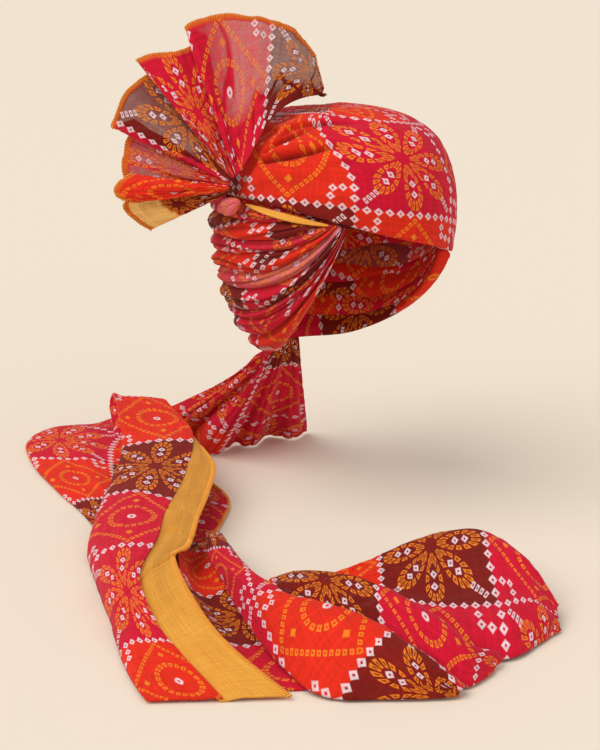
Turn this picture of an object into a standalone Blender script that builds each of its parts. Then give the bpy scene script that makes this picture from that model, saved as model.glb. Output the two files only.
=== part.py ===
"""A tied turban of printed voile, as it sits on a head: wound crown, shingled turns round the nape, a knot
with a pleated fan, and a long end that drops from the nape and lies folded on the surface below.

Metres, +Z up. The origin is the centre of the head at brow height, the wearer looks along -Y, and the
wearer's right hand is at -X.
"""

import math

import bmesh
import bpy
from mathutils import Vector

# The head that the hollow takes.
HEAD_LENGTH = 0.195
HEAD_BREADTH = 0.155
CROWN_RISE = 0.087
NAPE_DROP = 0.125
NECK_SET_BACK = 0.011
CROWN_SQUARENESS = 3.2
NAPE_SQUARENESS = 2.0

# Cloth.
HEAD_EASE = 0.0005
CROWN_WALL = 0.0105
CLOTH = 0.0015
THIN_CLOTH = 0.001
GAP = 0.0004
RIM_GAP = 0.0009

# The crown's drawn folds run out from the knot over the wearer's right temple.
CREASE_DEPTH = 0.004
CREASE_REACH = 0.085
CREASE_START = 0.012
CREASE_WAYS = (-8, 12, 32, 55)
CREASE_SPREAD = 4.5

# The turns fan out from the temples and wind round the back of the head.
TURNS = 9
RIGHT_TEMPLE = math.radians(50)
LEFT_TEMPLE = math.radians(-42)
TURN_SWEEP = 4.9
BACK_TOP = 0.024
BACK_BOTTOM = -0.106
RIGHT_TOP = 0.036
RIGHT_BOTTOM = 0.012
LEFT_TOP = 0.012
LEFT_BOTTOM = -0.021
TURN_TUCK = 0.006
TURN_BULGE = 0.012
TURN_EMERGE = 0.010
TURN_END = 0.0012

# The band of the cloth's gold border that peeps out below the crown.
STRIP_WIDTH = 0.0035
STRIP_FROM = math.radians(58)
STRIP_TO = math.radians(100)

# The knot and the fan.
KNOT_TURN = math.radians(103)
KNOT_LENGTH = 0.030
KNOT_HEIGHT = 0.015
KNOT_DEPTH = 0.015
KNOT_GROOVES = 3
KNOT_GROOVE_DEPTH = 0.00075
SEAM_MIDDLE = Vector((-0.92, 0.00, 0.77))
SEAM_TOP = Vector((-0.05, 0.12, 1.00))
FAN_TURN = math.radians(101)
FAN_REACH = 0.128
FAN_DEPTH = 0.060
FAN_ROOT = 0.008
FAN_GATHER = 0.011
FAN_BILLOW = 0.004
FAN_STANDOFF = 0.0025

# The ground that the loose end covers, and the surface that it lies on, below the brow.
BROW_HEIGHT = 0.230
LAY_TURN = math.radians(-50)
LAY_SPAN = 0.500
PILE_HEIGHT = 0.040
DROP_SAG = 0.010
BORDER_FIRST_ROW = 4
BORDER_GAP = 0.0032

COLOURS = {
    "crimson": (0.60, 0.015, 0.045),
    "scarlet": (0.66, 0.035, 0.015),
    "maroon": (0.22, 0.012, 0.010),
    "gold": (0.70, 0.36, 0.07),
    "rose": (0.70, 0.13, 0.17),
}

# The crown's lower edge all round, a height every 30 degrees.
CROWN_RIM = (
    # turn from the front towards the wearer's right, height in percent of CROWN_RISE
    (-180, 27.5),
    (-150, 25),
    (-120, 17),
    (-90, 3),
    (-60, -14),
    (-30, -16),
    (0, -3),
    (30, 10),
    (60, 24),
    (90, 33),
    (120, 33.5),
    (150, 31),
    (180, 27.5),
)

# Fan folds, in percent of FAN_REACH and FAN_DEPTH. The angle is from the level, and depth is away from
# the viewer.
FAN_FOLDS = (
    # angle, reach, depth
    (43, 70, 112),
    (54, 82, 107),
    (65, 93, 102),
    (78, 99, 95),
    (95, 100, 78),
    (110.5, 99, 60),
    (104, 88, 82),
    (117, 88, 67),
    (131, 97, 45),
    (126, 86, 64),
    (143, 88, 50),
    (157.5, 86, 31),
    (151, 75, 52),
    (165, 75, 43),
    (180, 72, 35),
    (175, 68, 17),
    (182.5, 79, 4),
    (190, 69, 6),
    (187, 69, 22),
    (193, 75, 29),
    (208.5, 66, 24),
)

# Loose end. Places are percent of LAY_SPAN, to the right of and away from the viewer, from below the
# neck. Heights are percent of PILE_HEIGHT.
DROP_FOLDS = (
    # share of the nape arc, foot_right, foot_away, foot_height
    (0.00, -31.6, 33, 28),
    (0.13, -28.5, 26.5, 10),
    (0.26, -24.0, 24, 6),
    (0.38, -21.5, 16.5, 6),
    (0.50, -18.0, 16.5, 6),
    (0.61, -15.5, 21.5, 6),
    (0.72, -12.0, 20.5, 6),
    (0.83, -9.5, 26.5, 6),
    (0.92, -5.0, 24.5, 6),
    (1.00, -2.0, 29, 6),
)

LOBE_ROWS = (
    # edge_right, edge_away, inner_right, inner_away, inner_height
    (-38.9, 38.5, -31, 22, 30),
    (-43.8, 32.2, -31, 16, 40),
    (-50.9, 30.4, -31, 11, 44),
    (-54.2, 22.9, -31, 5, 44),
    (-51.5, 11.8, -31, -1, 40),
    (-45.7, -1.3, -31, -8, 32),
    (-39.8, -12.6, -31, -15, 20),
    (-36.2, -21, -31, -22, 8),
)

FRONT_ROWS = (
    # left_right, left_away, left_height, seam_right, seam_away, seam_height, edge_right, ..._away, ..._height
    (-38, 21.1, 66, -30, 18, 62, -29, 18, 62),
    (-39, 26, 88, -30.5, 24, 84, -29, 23, 80),
    (-38, 24.5, 116, -28.5, 20, 118, -27, 19, 112),
    (-36, 13.7, 108, -24.6, 9.9, 116, -23.4, 8.9, 110),
    (-34.2, 4.1, 84, -21.9, 1.6, 110, -21, 0.6, 98),
    (-34.4, -4.5, 66, -21.7, -11.5, 104, -17.8, -8.3, 84),
    (-35.2, -12.9, 48, -22.8, -24.3, 102, -18.2, -19.1, 76),
    (-36.4, -24.2, 12, -24, -32.1, 98, -19.1, -28.8, 72),
    (-35.4, -35.8, 6, -24.3, -41.8, 94, -19.8, -39.8, 68),
    (-32.3, -48, 5, -25.8, -54.2, 84, -21.7, -46.2, 80),
    (-28.8, -60, 5, -22.6, -65.5, 62, -18.1, -59.6, 70),
    (-25.7, -70.8, 5, -18.5, -72.3, 38, -12.5, -70.8, 50),
    (-22.8, -79.4, 5, -13.2, -78.9, 6.5, -4.5, -78.4, 9),
)

FLAP_ROWS = (
    # inner_right, inner_away, tip_right, tip_away, tip_height
    (-23, 3, -20, 1, 12),
    (-23, -4, -15.4, -8, 9),
    (-23, -14, -16, -18, 9),
    (-23, -24, -18, -27, 10),
    (-23, -32, -21, -33, 14),
)

INNER_ROWS = (
    # under_right, under_away, under_height, dip_right, dip_away, out_right, out_away, out_height
    (-22, -38, 40, -19.6, -38, -17, -37, 22),
    (-20.5, -50, 40, -16.5, -50, -13, -49, 22),
    (-17.2, -61.5, 32, -12.6, -61.5, -8.8, -60.5, 18),
    (-12.5, -70.5, 18, -8.6, -70.5, -4.5, -69, 12),
    (-8.6, -76, 7, -4.6, -76, 0, -75.6, 6),
)

NEAR_ROWS = (
    # foot_right, foot_away, foot_height, crest_right, crest_away, crest_height
    (-18, -32, 40, -16.5, -33, 56),
    (-15.3, -45, 40, -12, -48, 74),
    (-11.1, -60, 34, -6, -61.5, 90),
    (-6.4, -71, 20, -0.5, -66, 100),
    (-0.5, -78, 6, 5.5, -70.5, 95),
    (7.8, -79, 6, 10.5, -75.2, 75),
    (13.5, -78.8, 6, 14.6, -77.4, 40),
    (16.7, -78.3, 6, 16.9, -77.9, 14),
)

MIDDLE_ROWS = (
    # foot_right, foot_away, foot_height, crest_right, crest_away, crest_height
    (-8, -53.5, 50, -7.5, -51.5, 66),
    (-4, -59.5, 56, -4, -52.5, 84),
    (1.5, -63.5, 60, 0.8, -54.9, 90),
    (7.5, -67.5, 56, 6.9, -60, 95),
    (12, -72, 44, 11.2, -64.5, 90),
    (15.3, -74.6, 20, 15.2, -69, 80),
    (17.8, -75.4, 6, 18.7, -71.6, 50),
    (19.6, -74, 6, 21.5, -70.3, 30),
    (21.8, -71.5, 6, 22.6, -70, 12),
)

FAR_ROWS = (
    # right, back, crest_back, crest_height, dip, dip_height, front_crest, front_height, front
    (-8, -44.5, -45.5, 18, -46.5, 14, -47.5, 10, -48.5),
    (-3, -44.5, -46.5, 30, -48, 24, -49.3, 16, -50.3),
    (4, -45, -47.3, 66, -50, 40, -52.5, 22, -54.5),
    (11, -40.5, -42.8, 76, -50, 44, -56, 28, -60),
    (18, -36.5, -38.8, 83, -50, 46, -60, 32, -66),
    (24, -35.5, -38.3, 84, -50, 60, -63, 42, -67.5),
    (29, -42, -45.5, 74, -53, 60, -60, 42, -62.5),
    (32.5, -51.5, -54, 24, -56, 26, -57.5, 20, -58.5),
)


def clear_scene():
    for old in list(bpy.data.objects):
        bpy.data.objects.remove(old)


def cloth_material(colour, roughness=0.85):
    material = bpy.data.materials.new(colour)
    material.use_nodes = True
    shader = material.node_tree.nodes["Principled BSDF"]
    shader.inputs["Base Color"].default_value = (*COLOURS[colour], 1.0)
    shader.inputs["Roughness"].default_value = roughness
    shader.inputs["Metallic"].default_value = 0.0
    return material


def add_object(name, mesh_data, material):
    mesh = bpy.data.meshes.new(name)
    mesh_data.to_mesh(mesh)
    mesh_data.free()
    mesh.shade_smooth()
    mesh.set_sharp_from_angle(angle=math.radians(50))
    mesh.materials.append(material)
    placed = bpy.data.objects.new(name, mesh)
    bpy.context.scene.collection.objects.link(placed)
    return placed


def mix(low, high, share):
    return low + (high - low) * share


def ramp(share):
    """0 to 1 with level ends."""
    share = min(1.0, max(0.0, share))
    return share * share * (3 - 2 * share)


def spline(rows, place):
    """The row at a place from 0 to 1 on a smooth curve through rows of equal numbers."""
    spans = len(rows) - 1
    span = min(int(place * spans), spans - 1)
    t = place * spans - span
    before, start, end, after = (
        rows[min(max(span + step, 0), spans)] for step in (-1, 0, 1, 2)
    )
    return [
        0.5 * (2 * b + (c - a) * t + (2 * a - 5 * b + 4 * c - d) * t**2 + (3 * b - a - 3 * c + d) * t**3)
        for a, b, c, d in zip(before, start, end, after)
    ]


def shares(count):
    return [step / count for step in range(count + 1)]


def head_radius(way, offset):
    """How far the head's surface, grown by offset, is from the origin along a way."""
    level = math.hypot(way.x / (HEAD_BREADTH / 2 + offset), way.y / (HEAD_LENGTH / 2 + offset))
    if way.z > 0:
        upright, power = way.z / (CROWN_RISE + offset), CROWN_SQUARENESS
    else:
        upright, power = -way.z / (NAPE_DROP + offset), NAPE_SQUARENESS
    return (level**power + upright**power) ** (-1 / power)


def on_head(way, offset):
    return way * head_radius(way, offset)


def at_height(turn, height, offset):
    """The point on the grown head at a turn from the front, towards the wearer's right, and a height."""
    if height > 0:
        share, power = height / (CROWN_RISE + offset), CROWN_SQUARENESS
    else:
        share, power = -height / (NAPE_DROP + offset), NAPE_SQUARENESS
    level = (1 - min(share, 0.999) ** power) ** (1 / power)
    return Vector((
        -(HEAD_BREADTH / 2 + offset) * level * math.sin(turn),
        -(HEAD_LENGTH / 2 + offset) * level * math.cos(turn),
        height,
    ))


def lay(right, away, height):
    """A point of the loose end, from percents of LAY_SPAN and PILE_HEIGHT."""
    right, away = right / 100 * LAY_SPAN, away / 100 * LAY_SPAN
    return Vector((
        right * math.cos(LAY_TURN) - away * math.sin(LAY_TURN),
        NECK_SET_BACK + right * math.sin(LAY_TURN) + away * math.cos(LAY_TURN),
        height / 100 * PILE_HEIGHT - BROW_HEIGHT,
    ))


def sheet(name, rows, thickness, material, side=0.0):
    """A grid of points given a wall. Side -1 to 1 says which face the grid is."""
    data = bmesh.new()
    grid = [[data.verts.new(point) for point in row] for row in rows]
    for low, high in zip(grid, grid[1:]):
        for a, b, c, d in zip(low, low[1:], high[1:], high):
            data.faces.new((a, b, c, d))
    placed = add_object(name, data, material)
    wall = placed.modifiers.new("wall", "SOLIDIFY")
    wall.thickness = thickness
    wall.offset = side
    return placed


def shell(name, outer, inner, material, closed=False):
    """A solid between two grids. A closed one joins each row's ends, and its last row is one tip."""
    data = bmesh.new()
    faces = [[[data.verts.new(point) for point in row] for row in grid] for grid in (outer, inner)]
    for grid in faces:
        for low, high in zip(grid, grid[1:]):
            if len(high) == 1:
                for a, b in zip(low, low[1:] + low[:1]):
                    data.faces.new((a, b, high[0]))
                continue
            ends = (low[1:], high[1:])
            if closed:
                ends = (low[1:] + low[:1], high[1:] + high[:1])
            for a, b, c, d in zip(low, ends[0], ends[1], high):
                data.faces.new((a, b, c, d))
    outer, inner = faces
    borders = [(outer[0], inner[0])]
    if not closed:
        borders.append((outer[-1], inner[-1]))
        for end in (0, -1):
            borders.append(([row[end] for row in outer], [row[end] for row in inner]))
    for out_line, in_line in borders:
        join = closed and len(out_line) > 1
        outs = out_line[1:] + (out_line[:1] if join else [])
        ins = in_line[1:] + (in_line[:1] if join else [])
        for a, b, c, d in zip(out_line, outs, ins, in_line):
            data.faces.new((a, b, c, d))
    bmesh.ops.recalc_face_normals(data, faces=data.faces)
    return add_object(name, data, material)


def loft(name, sections, material):
    """A solid through closed sections of equal count, with flat ends."""
    data = bmesh.new()
    rings = [[data.verts.new(point) for point in section] for section in sections]
    for low, high in zip(rings, rings[1:]):
        for a, b, c, d in zip(low, low[1:] + low[:1], high[1:] + high[:1], high):
            data.faces.new((a, b, c, d))
    data.faces.new(rings[0])
    data.faces.new(list(reversed(rings[-1])))
    bmesh.ops.recalc_face_normals(data, faces=data.faces)
    return add_object(name, data, material)


def crown_low(turn):
    """Height of the crown's lower edge at a turn from the front, towards the wearer's right."""
    place = (turn / (2 * math.pi) + 0.5) % 1
    return spline(CROWN_RIM, place)[1] / 100 * CROWN_RISE


def turn_line(line, turn):
    """Height of the border between two turns. Line 0 is the top one, and turn runs right, back, left."""
    share = line / TURNS
    left_end = 2 * math.pi + LEFT_TEMPLE
    if turn <= math.pi:
        run = (turn - RIGHT_TEMPLE) / (math.pi - RIGHT_TEMPLE)
        start = mix(RIGHT_TOP, RIGHT_BOTTOM, share)
    else:
        run = (left_end - turn) / (left_end - math.pi)
        start = mix(LEFT_TOP, LEFT_BOTTOM, share)
    run = min(1.0, max(0.0, run))
    return mix(start, mix(BACK_TOP, BACK_BOTTOM, share), 1 - (1 - run) ** TURN_SWEEP)


def line_gap(line, turn):
    """Half of the gap between two turns, measured upright, so that it stays GAP across a steep line."""
    step = math.radians(1)
    climb = turn_line(line, turn + step) - turn_line(line, turn - step)
    return GAP / 2 * math.hypot(1, climb / (2 * step * HEAD_BREADTH / 2))


def turn_swell(below):
    """How far a turn stands off the head: thin where it tucks under the crown, full lower down."""
    return mix(TURN_TUCK, TURN_BULGE, ramp(below / TURN_EMERGE))


def crown_point(way, offset):
    """A point on the crown's outer face, with the drawn folds that leave the knot."""
    point = on_head(way, offset)
    knot = knot_place()
    from_knot = point - knot
    ahead = -from_knot.y
    rising = math.degrees(math.atan2(from_knot.z, ahead))
    fade = ramp(1 - from_knot.length / CREASE_REACH) * ramp(from_knot.length / CREASE_START)
    if ahead < 0 and from_knot.z < 0:
        return point
    fall = sum(math.exp(-(((rising - line) / CREASE_SPREAD) ** 2)) for line in CREASE_WAYS)
    return on_head(way, offset - CREASE_DEPTH * fade * fall)


def make_crown(material):
    outer, inner = [], []
    around, up = 44, 11
    top = Vector((0, 0, 1))
    for share in shares(up):
        outer_row, inner_row = [], []
        rounding = CROWN_WALL * (0.72 + 0.28 * math.sin(math.pi / 2 * min(1, share * 6)))
        for step in range(around):
            turn = 2 * math.pi * step / around
            foot = at_height(turn, crown_low(turn), HEAD_EASE).normalized()
            way = foot.slerp(top, share) if share < 1 else top
            outer_row.append(crown_point(way, HEAD_EASE + rounding))
            inner_row.append(on_head(way, HEAD_EASE))
        if share == 1:
            outer_row, inner_row = outer_row[:1], inner_row[:1]
        outer.append(outer_row)
        inner.append(inner_row)
    return shell("crown", outer, inner, material, closed=True)


def turn_stations():
    """Turns from the front at which every wound turn has a section, closer together at the temples."""
    left_end = 2 * math.pi + LEFT_TEMPLE
    return [mix(RIGHT_TEMPLE, left_end, mix(share, ramp(share), 0.8)) for share in shares(30)]


def make_turn(number, material):
    """One wound turn: a ribbon of folded cloth, rounded outside, from temple to temple."""
    sections = []
    thickest = TURN_BULGE * (0.86 if number % 2 else 1.0)
    for turn in turn_stations():
        ceiling = crown_low(turn) - RIM_GAP
        top = min(turn_line(number - 1, turn) - line_gap(number - 1, turn), ceiling)
        bottom = turn_line(number, turn) + line_gap(number, turn)
        if top - bottom < TURN_END:
            continue
        outside = []
        for part in shares(4):
            height = mix(bottom, top, part)
            swell = min(turn_swell(ceiling - height), thickest)
            round_off = 0.5 + 0.5 * math.sin(math.pi * part) ** 0.7
            outside.append(at_height(turn, height, HEAD_EASE + swell * round_off))
        inside = [at_height(turn, mix(bottom, top, part), HEAD_EASE) for part in (1, 0)]
        sections.append(outside + inside)
    return loft(f"turn_{number}", sections, material)


def make_edge_strip(material):
    """The gold border of the layer below, showing as a sliver under the crown's edge."""
    rows = []
    for share in shares(14):
        turn = mix(STRIP_FROM, STRIP_TO, share)
        width = THIN_CLOTH + STRIP_WIDTH * math.sin(math.pi * share) ** 0.8
        row = []
        for part in shares(2):
            below = GAP + THIN_CLOTH + width * part
            offset = HEAD_EASE + turn_swell(below) + GAP + THIN_CLOTH
            row.append(at_height(turn, crown_low(turn) - below, offset))
        rows.append(row)
    return sheet("edge_strip", rows, THIN_CLOTH, material)


def knot_place():
    offset = HEAD_EASE + CROWN_WALL + KNOT_DEPTH / 2
    return at_height(KNOT_TURN, crown_low(KNOT_TURN), offset)


def make_knot(material):
    """A drop-shaped lump of cloth with spiral grooves, its axis along the wrap."""
    centre = knot_place() + Vector((0, 0, -KNOT_HEIGHT * 0.2))
    outward = Vector((centre.x, centre.y, 0)).normalized()
    centre += outward * (TURN_BULGE - CROWN_WALL + GAP)
    along = (Vector((-outward.y, outward.x, 0)) * -1 - Vector((0, 0, 0.35))).normalized()
    side = along.cross(outward).normalized()
    sections = []
    around = 14
    for share in shares(8):
        run = mix(0.04, 0.96, share)
        girth = math.sin(math.pi * run) ** 0.55
        section = []
        for step in range(around):
            angle = 2 * math.pi * step / around
            dent = (0.5 + 0.5 * math.cos(KNOT_GROOVES * angle + 4 * run)) ** 3
            groove = 1 - KNOT_GROOVE_DEPTH / (KNOT_DEPTH / 2) * dent
            section.append(
                centre
                + along * (KNOT_LENGTH * (run - 0.5))
                + outward * (KNOT_DEPTH / 2 * girth * groove * math.cos(angle))
                + side * (KNOT_HEIGHT / 2 * girth * groove * math.sin(angle))
            )
        sections.append(section)
    return loft("knot", sections, material)


def seam_point(lift):
    """Where the fan leaves the crown: by the knot at 0, on top of the crown at 1."""
    foot = at_height(FAN_TURN, crown_low(FAN_TURN) + KNOT_HEIGHT / 2, HEAD_EASE).normalized()
    way = foot * (1 - lift) ** 2 + SEAM_MIDDLE * (2 * lift * (1 - lift)) + SEAM_TOP * lift**2
    return on_head(way.normalized(), HEAD_EASE + CROWN_WALL + FAN_STANDOFF)


def fan_point(place, reach):
    """A point of the fan at a place across its folds and a reach from its base, both from 0 to 1."""
    angle, length, depth = spline(FAN_FOLDS, place)
    right = Vector((math.cos(LAY_TURN), math.sin(LAY_TURN), 0))
    away = Vector((-math.sin(LAY_TURN), math.cos(LAY_TURN), 0))
    level = right * math.cos(math.radians(angle)) + Vector((0, 0, math.sin(math.radians(angle))))
    tip = seam_point(0) + level * (length / 100 * FAN_REACH) + away * (depth / 100 * FAN_DEPTH)
    lift = ramp((108 - angle) / 62)
    nearer = (FAN_FOLDS[0][2] - depth) / 100
    start = seam_point(lift) + level * FAN_ROOT - away * (nearer * FAN_GATHER)
    billow = away * (-FAN_BILLOW * math.sin(math.pi * reach))
    return start.lerp(tip, reach) + billow


def make_fan(material):
    rows = [[fan_point(place, reach) for reach in shares(5)] for place in shares(3 * (len(FAN_FOLDS) - 1))]
    return sheet("fan", rows, THIN_CLOTH, material)


def make_drop(material):
    """The loose end's hanging stretch, gathered at the nape and spread on the surface."""
    rows = []
    for place in shares(27):
        arc, right, away, height = spline(DROP_FOLDS, place)
        turn = mix(math.radians(146), math.radians(206), arc)
        low = turn_line(TURNS, turn) - GAP - CLOTH
        start = at_height(turn, low, HEAD_EASE + TURN_BULGE * 0.4)
        foot = lay(right, away, height)
        row = []
        for share in shares(6):
            point = start.lerp(foot, share)
            sag = DROP_SAG * math.sin(math.pi * share)
            row.append(point + Vector((0, 0, -sag * (1 - share))))
        rows.append(row)
    return sheet("tail_drop", rows, CLOTH, material)


def skin(table, count, section, first_row=0):
    """A grid: section turns each smoothed row of a table, from its first row on, into points across."""
    begin = first_row / (len(table) - 1)
    return [section(*spline(table, mix(begin, 1, place))) for place in shares(count)]


def lobe_section(edge_right, edge_away, inner_right, inner_away, inner_height):
    points = []
    for share in shares(6):
        rise = math.sin(math.pi / 2 * share) ** 0.55
        points.append(lay(
            mix(edge_right, inner_right, share),
            mix(edge_away, inner_away, share),
            max(3, inner_height * rise + 3),
        ))
    return points


def front_section(left_right, left_away, left_height, seam_right, seam_away, seam_height, *_):
    points = []
    for share in shares(7):
        rise = math.sin(math.pi / 2 * share) ** 0.5
        out = 0.10 * math.sin(math.pi * share) * (seam_right - left_right)
        points.append(lay(
            mix(left_right, seam_right, share) - out * (1 - share),
            mix(left_away, seam_away, share),
            mix(left_height, seam_height, rise),
        ))
    return points


def border_section(*row):
    seam = lay(*row[3:6])
    edge = lay(*row[6:9])
    way = (edge - seam).normalized()
    return [seam.lerp(edge, share) + way * (BORDER_GAP * (1 - share)) for share in shares(2)]


def flap_section(inner_right, inner_away, tip_right, tip_away, tip_height):
    return [
        lay(mix(inner_right, tip_right, share), mix(inner_away, tip_away, share), mix(6, tip_height, share))
        for share in shares(3)
    ]


def inner_section(*row):
    """A hollow strip: down from under the border to a dip near the ground, then out and up."""
    dip_height = 5
    line = (row[0:3], (*row[3:5], dip_height), row[5:8])
    return [lay(*spline(line, share)) for share in shares(4)]


def fold_section(foot_right, foot_away, foot_height, crest_right, crest_away, crest_height):
    """A face that climbs from its foot to a crest and rolls over it, down towards the back."""
    points = []
    for share in shares(5):
        rise = math.sin(math.pi / 2 * share) ** 0.8
        points.append(lay(
            mix(foot_right, crest_right, share),
            mix(foot_away, crest_away, share),
            mix(foot_height, crest_height, rise),
        ))
    points.append(lay(crest_right + 0.6, crest_away + 1.2, crest_height * 0.94))
    points.append(lay(crest_right + 0.8, crest_away + 1.6, crest_height * 0.80))
    return points


def far_section(right, back, crest_back, crest_height, dip, dip_height, front_crest, front_height, front):
    line = [
        (back, 4),
        (mix(back, crest_back, 0.35), crest_height * 0.75),
        (crest_back, crest_height),
        (dip, dip_height),
        (front_crest, front_height),
        (front, 4),
    ]
    return [lay(right, *spline(line, share)) for share in shares(9)]


def make_tail(crimson, scarlet, maroon, gold):
    make_drop(crimson)
    sheet("tail_lobe", skin(LOBE_ROWS, 12, lobe_section), CLOTH, scarlet)
    sheet("tail_front", skin(FRONT_ROWS, 22, front_section), CLOTH, crimson)
    sheet("gold_border", skin(FRONT_ROWS, 17, border_section, BORDER_FIRST_ROW), CLOTH, gold)
    sheet("tail_flap", skin(FLAP_ROWS, 6, flap_section), CLOTH, maroon)
    sheet("tail_inner", skin(INNER_ROWS, 8, inner_section), CLOTH, maroon)
    sheet("tail_near_fold", skin(NEAR_ROWS, 14, fold_section), CLOTH, scarlet)
    sheet("tail_middle_fold", skin(MIDDLE_ROWS, 9, fold_section), CLOTH, crimson)
    sheet("tail_far_fold", skin(FAR_ROWS, 14, far_section), CLOTH, maroon)


def make_turban():
    crimson, scarlet, maroon, gold, rose = (cloth_material(name) for name in COLOURS)
    make_crown(crimson)
    for number in range(1, TURNS + 1):
        make_turn(number, (scarlet, maroon, crimson)[number % 3])
    make_edge_strip(gold)
    make_knot(rose)
    make_fan(crimson)
    make_tail(crimson, scarlet, maroon, gold)


clear_scene()
make_turban()
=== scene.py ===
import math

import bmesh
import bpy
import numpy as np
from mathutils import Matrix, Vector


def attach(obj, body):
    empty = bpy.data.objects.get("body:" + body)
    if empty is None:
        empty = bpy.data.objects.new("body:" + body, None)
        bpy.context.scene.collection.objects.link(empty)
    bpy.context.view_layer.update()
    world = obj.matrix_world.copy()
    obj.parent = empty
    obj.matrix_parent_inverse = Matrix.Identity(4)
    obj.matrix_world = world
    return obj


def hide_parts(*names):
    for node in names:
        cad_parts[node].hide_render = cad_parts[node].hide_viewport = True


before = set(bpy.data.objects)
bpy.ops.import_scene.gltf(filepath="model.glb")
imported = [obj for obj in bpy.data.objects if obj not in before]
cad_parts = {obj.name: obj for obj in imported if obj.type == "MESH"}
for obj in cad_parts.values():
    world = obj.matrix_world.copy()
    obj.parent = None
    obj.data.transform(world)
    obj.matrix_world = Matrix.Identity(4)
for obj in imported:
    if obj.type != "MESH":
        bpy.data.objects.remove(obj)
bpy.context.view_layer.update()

# %% [markdown]
# # A tied turban of bandhani voile
#
# One long strip of thin cotton voile is wound round a head. On the real object the cloth is never cut:
# the crown, the turns round the nape, the fan and the loose end are stretches of the same strip. Here each
# stretch is a piece of its own, because each is folded in another way.
#
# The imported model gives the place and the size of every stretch. This lesson repeats the rules and the short
# tables that shaped it, samples them much more finely, and adds what cloth does by itself: drawn gathers,
# crinkles, pleats, a printed pattern and a sewn edge.

# %% [markdown]
# ## The view
#
# The camera stands at the wearer's right and a little in front, and looks down on the turban by about
# sixteen degrees. A long lens keeps the verticals calm. The floor lies where the loose end lies.

# %% Camera
BROW_HEIGHT = 0.230
VIEW_TURN = math.radians(-50)
VIEW_DIP = math.radians(16.3)
CAMERA_SIDE, CAMERA_BACK, CAMERA_HEIGHT = -0.02554, -1.3145, 0.2569
SENSOR_WIDTH, LENS_LENGTH = 36, 77.95


def show(name, data):
    """A new object in the scene."""
    made = bpy.data.objects.new(name, data)
    bpy.context.scene.collection.objects.link(made)
    return made


view_right = Vector((math.cos(VIEW_TURN), math.sin(VIEW_TURN), 0))
view_away = Vector((-math.sin(VIEW_TURN), math.cos(VIEW_TURN), 0))
view_ahead = view_away * math.cos(VIEW_DIP) - Vector((0, 0, math.sin(VIEW_DIP)))
view_up = view_right.cross(view_ahead)

lens = bpy.data.cameras.new("camera")
lens.sensor_width = SENSOR_WIDTH
lens.lens = LENS_LENGTH
camera = show("camera", lens)
turned = Matrix((view_right, view_up, -view_ahead)).transposed()
place = view_right * CAMERA_SIDE + view_away * CAMERA_BACK + Vector((0, 0, CAMERA_HEIGHT))
camera.matrix_world = Matrix.Translation(place) @ turned.to_4x4()
bpy.context.scene.camera = camera
print("camera at", [round(c, 3) for c in camera.location])

# %% [markdown]
# ## Light and floor
#
# A pale studio: a soft light from above and to the left, a weak one from the right, and an even pale surround
# that fills the shadows. The floor is one large plain sheet of warm paper, lit alike near and far.

# %% Lamps
LAMP_COLOUR = (1.0, 0.965, 0.91)


def seen(right, away, height):
    """A point by the viewer's right and away, from the middle of the head, and a height above the floor."""
    return view_right * right + view_away * away + Vector((0, 0, height - BROW_HEIGHT))


def soft_light(name, spot, strength, spread):
    """Even light from a spot's side, from a patch of sky as wide as spread, in degrees."""
    light = bpy.data.lights.new(name, "SUN")
    light.energy = strength
    light.angle = math.radians(spread)
    light.color = LAMP_COLOUR
    lamp = show(name, light)
    lamp.location = spot
    lamp.rotation_mode = "QUATERNION"
    lamp.rotation_quaternion = (-spot).to_track_quat("-Z", "Y")


soft_light("window_light", seen(-1.3, -0.9, 2.4), 1.9, 54)
soft_light("ceiling_light", seen(1.2, -1.4, 1.6), 0.45, 60)
bpy.context.scene.view_settings.view_transform = "Standard"

# %% Surround
SURROUND, SURROUND_STRENGTH = (0.93, 0.90, 0.86), 0.53

world = bpy.data.worlds.new("surround")
world.use_nodes = True
surround = world.node_tree.nodes["Background"].inputs
surround["Color"].default_value = (*SURROUND, 1)
surround["Strength"].default_value = SURROUND_STRENGTH
bpy.context.scene.world = world

# %% [markdown]
# ## Shader arithmetic
#
# A pattern on cloth is arithmetic on the cloth's own two lengths, along and across. Node by node that is
# hard to read, so a small class lets plain signs stand for Math nodes: `a * b + 0.5` adds two of them.

# %% Nodes and their sockets
def fill(tree, slot, value):
    """Gives a socket a link, a number or a colour."""
    if isinstance(value, Value):
        value = value.socket
    if isinstance(value, bpy.types.NodeSocket):
        tree.links.new(value, slot)
    elif isinstance(value, tuple) and len(value) == 3 and slot.type == "RGBA":
        slot.default_value = (*value, 1)
    else:
        slot.default_value = value


def add_node(tree, kind, settings=(), values=()):
    """Any node: its settings first, then its sockets' values or links, by name or by number."""
    made = tree.nodes.new(kind)
    for name, value in dict(settings).items():
        setattr(made, name, value)
    for slot, value in dict(values).items():
        fill(tree, made.inputs[slot.replace("_", " ") if isinstance(slot, str) else slot], value)
    return made


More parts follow.
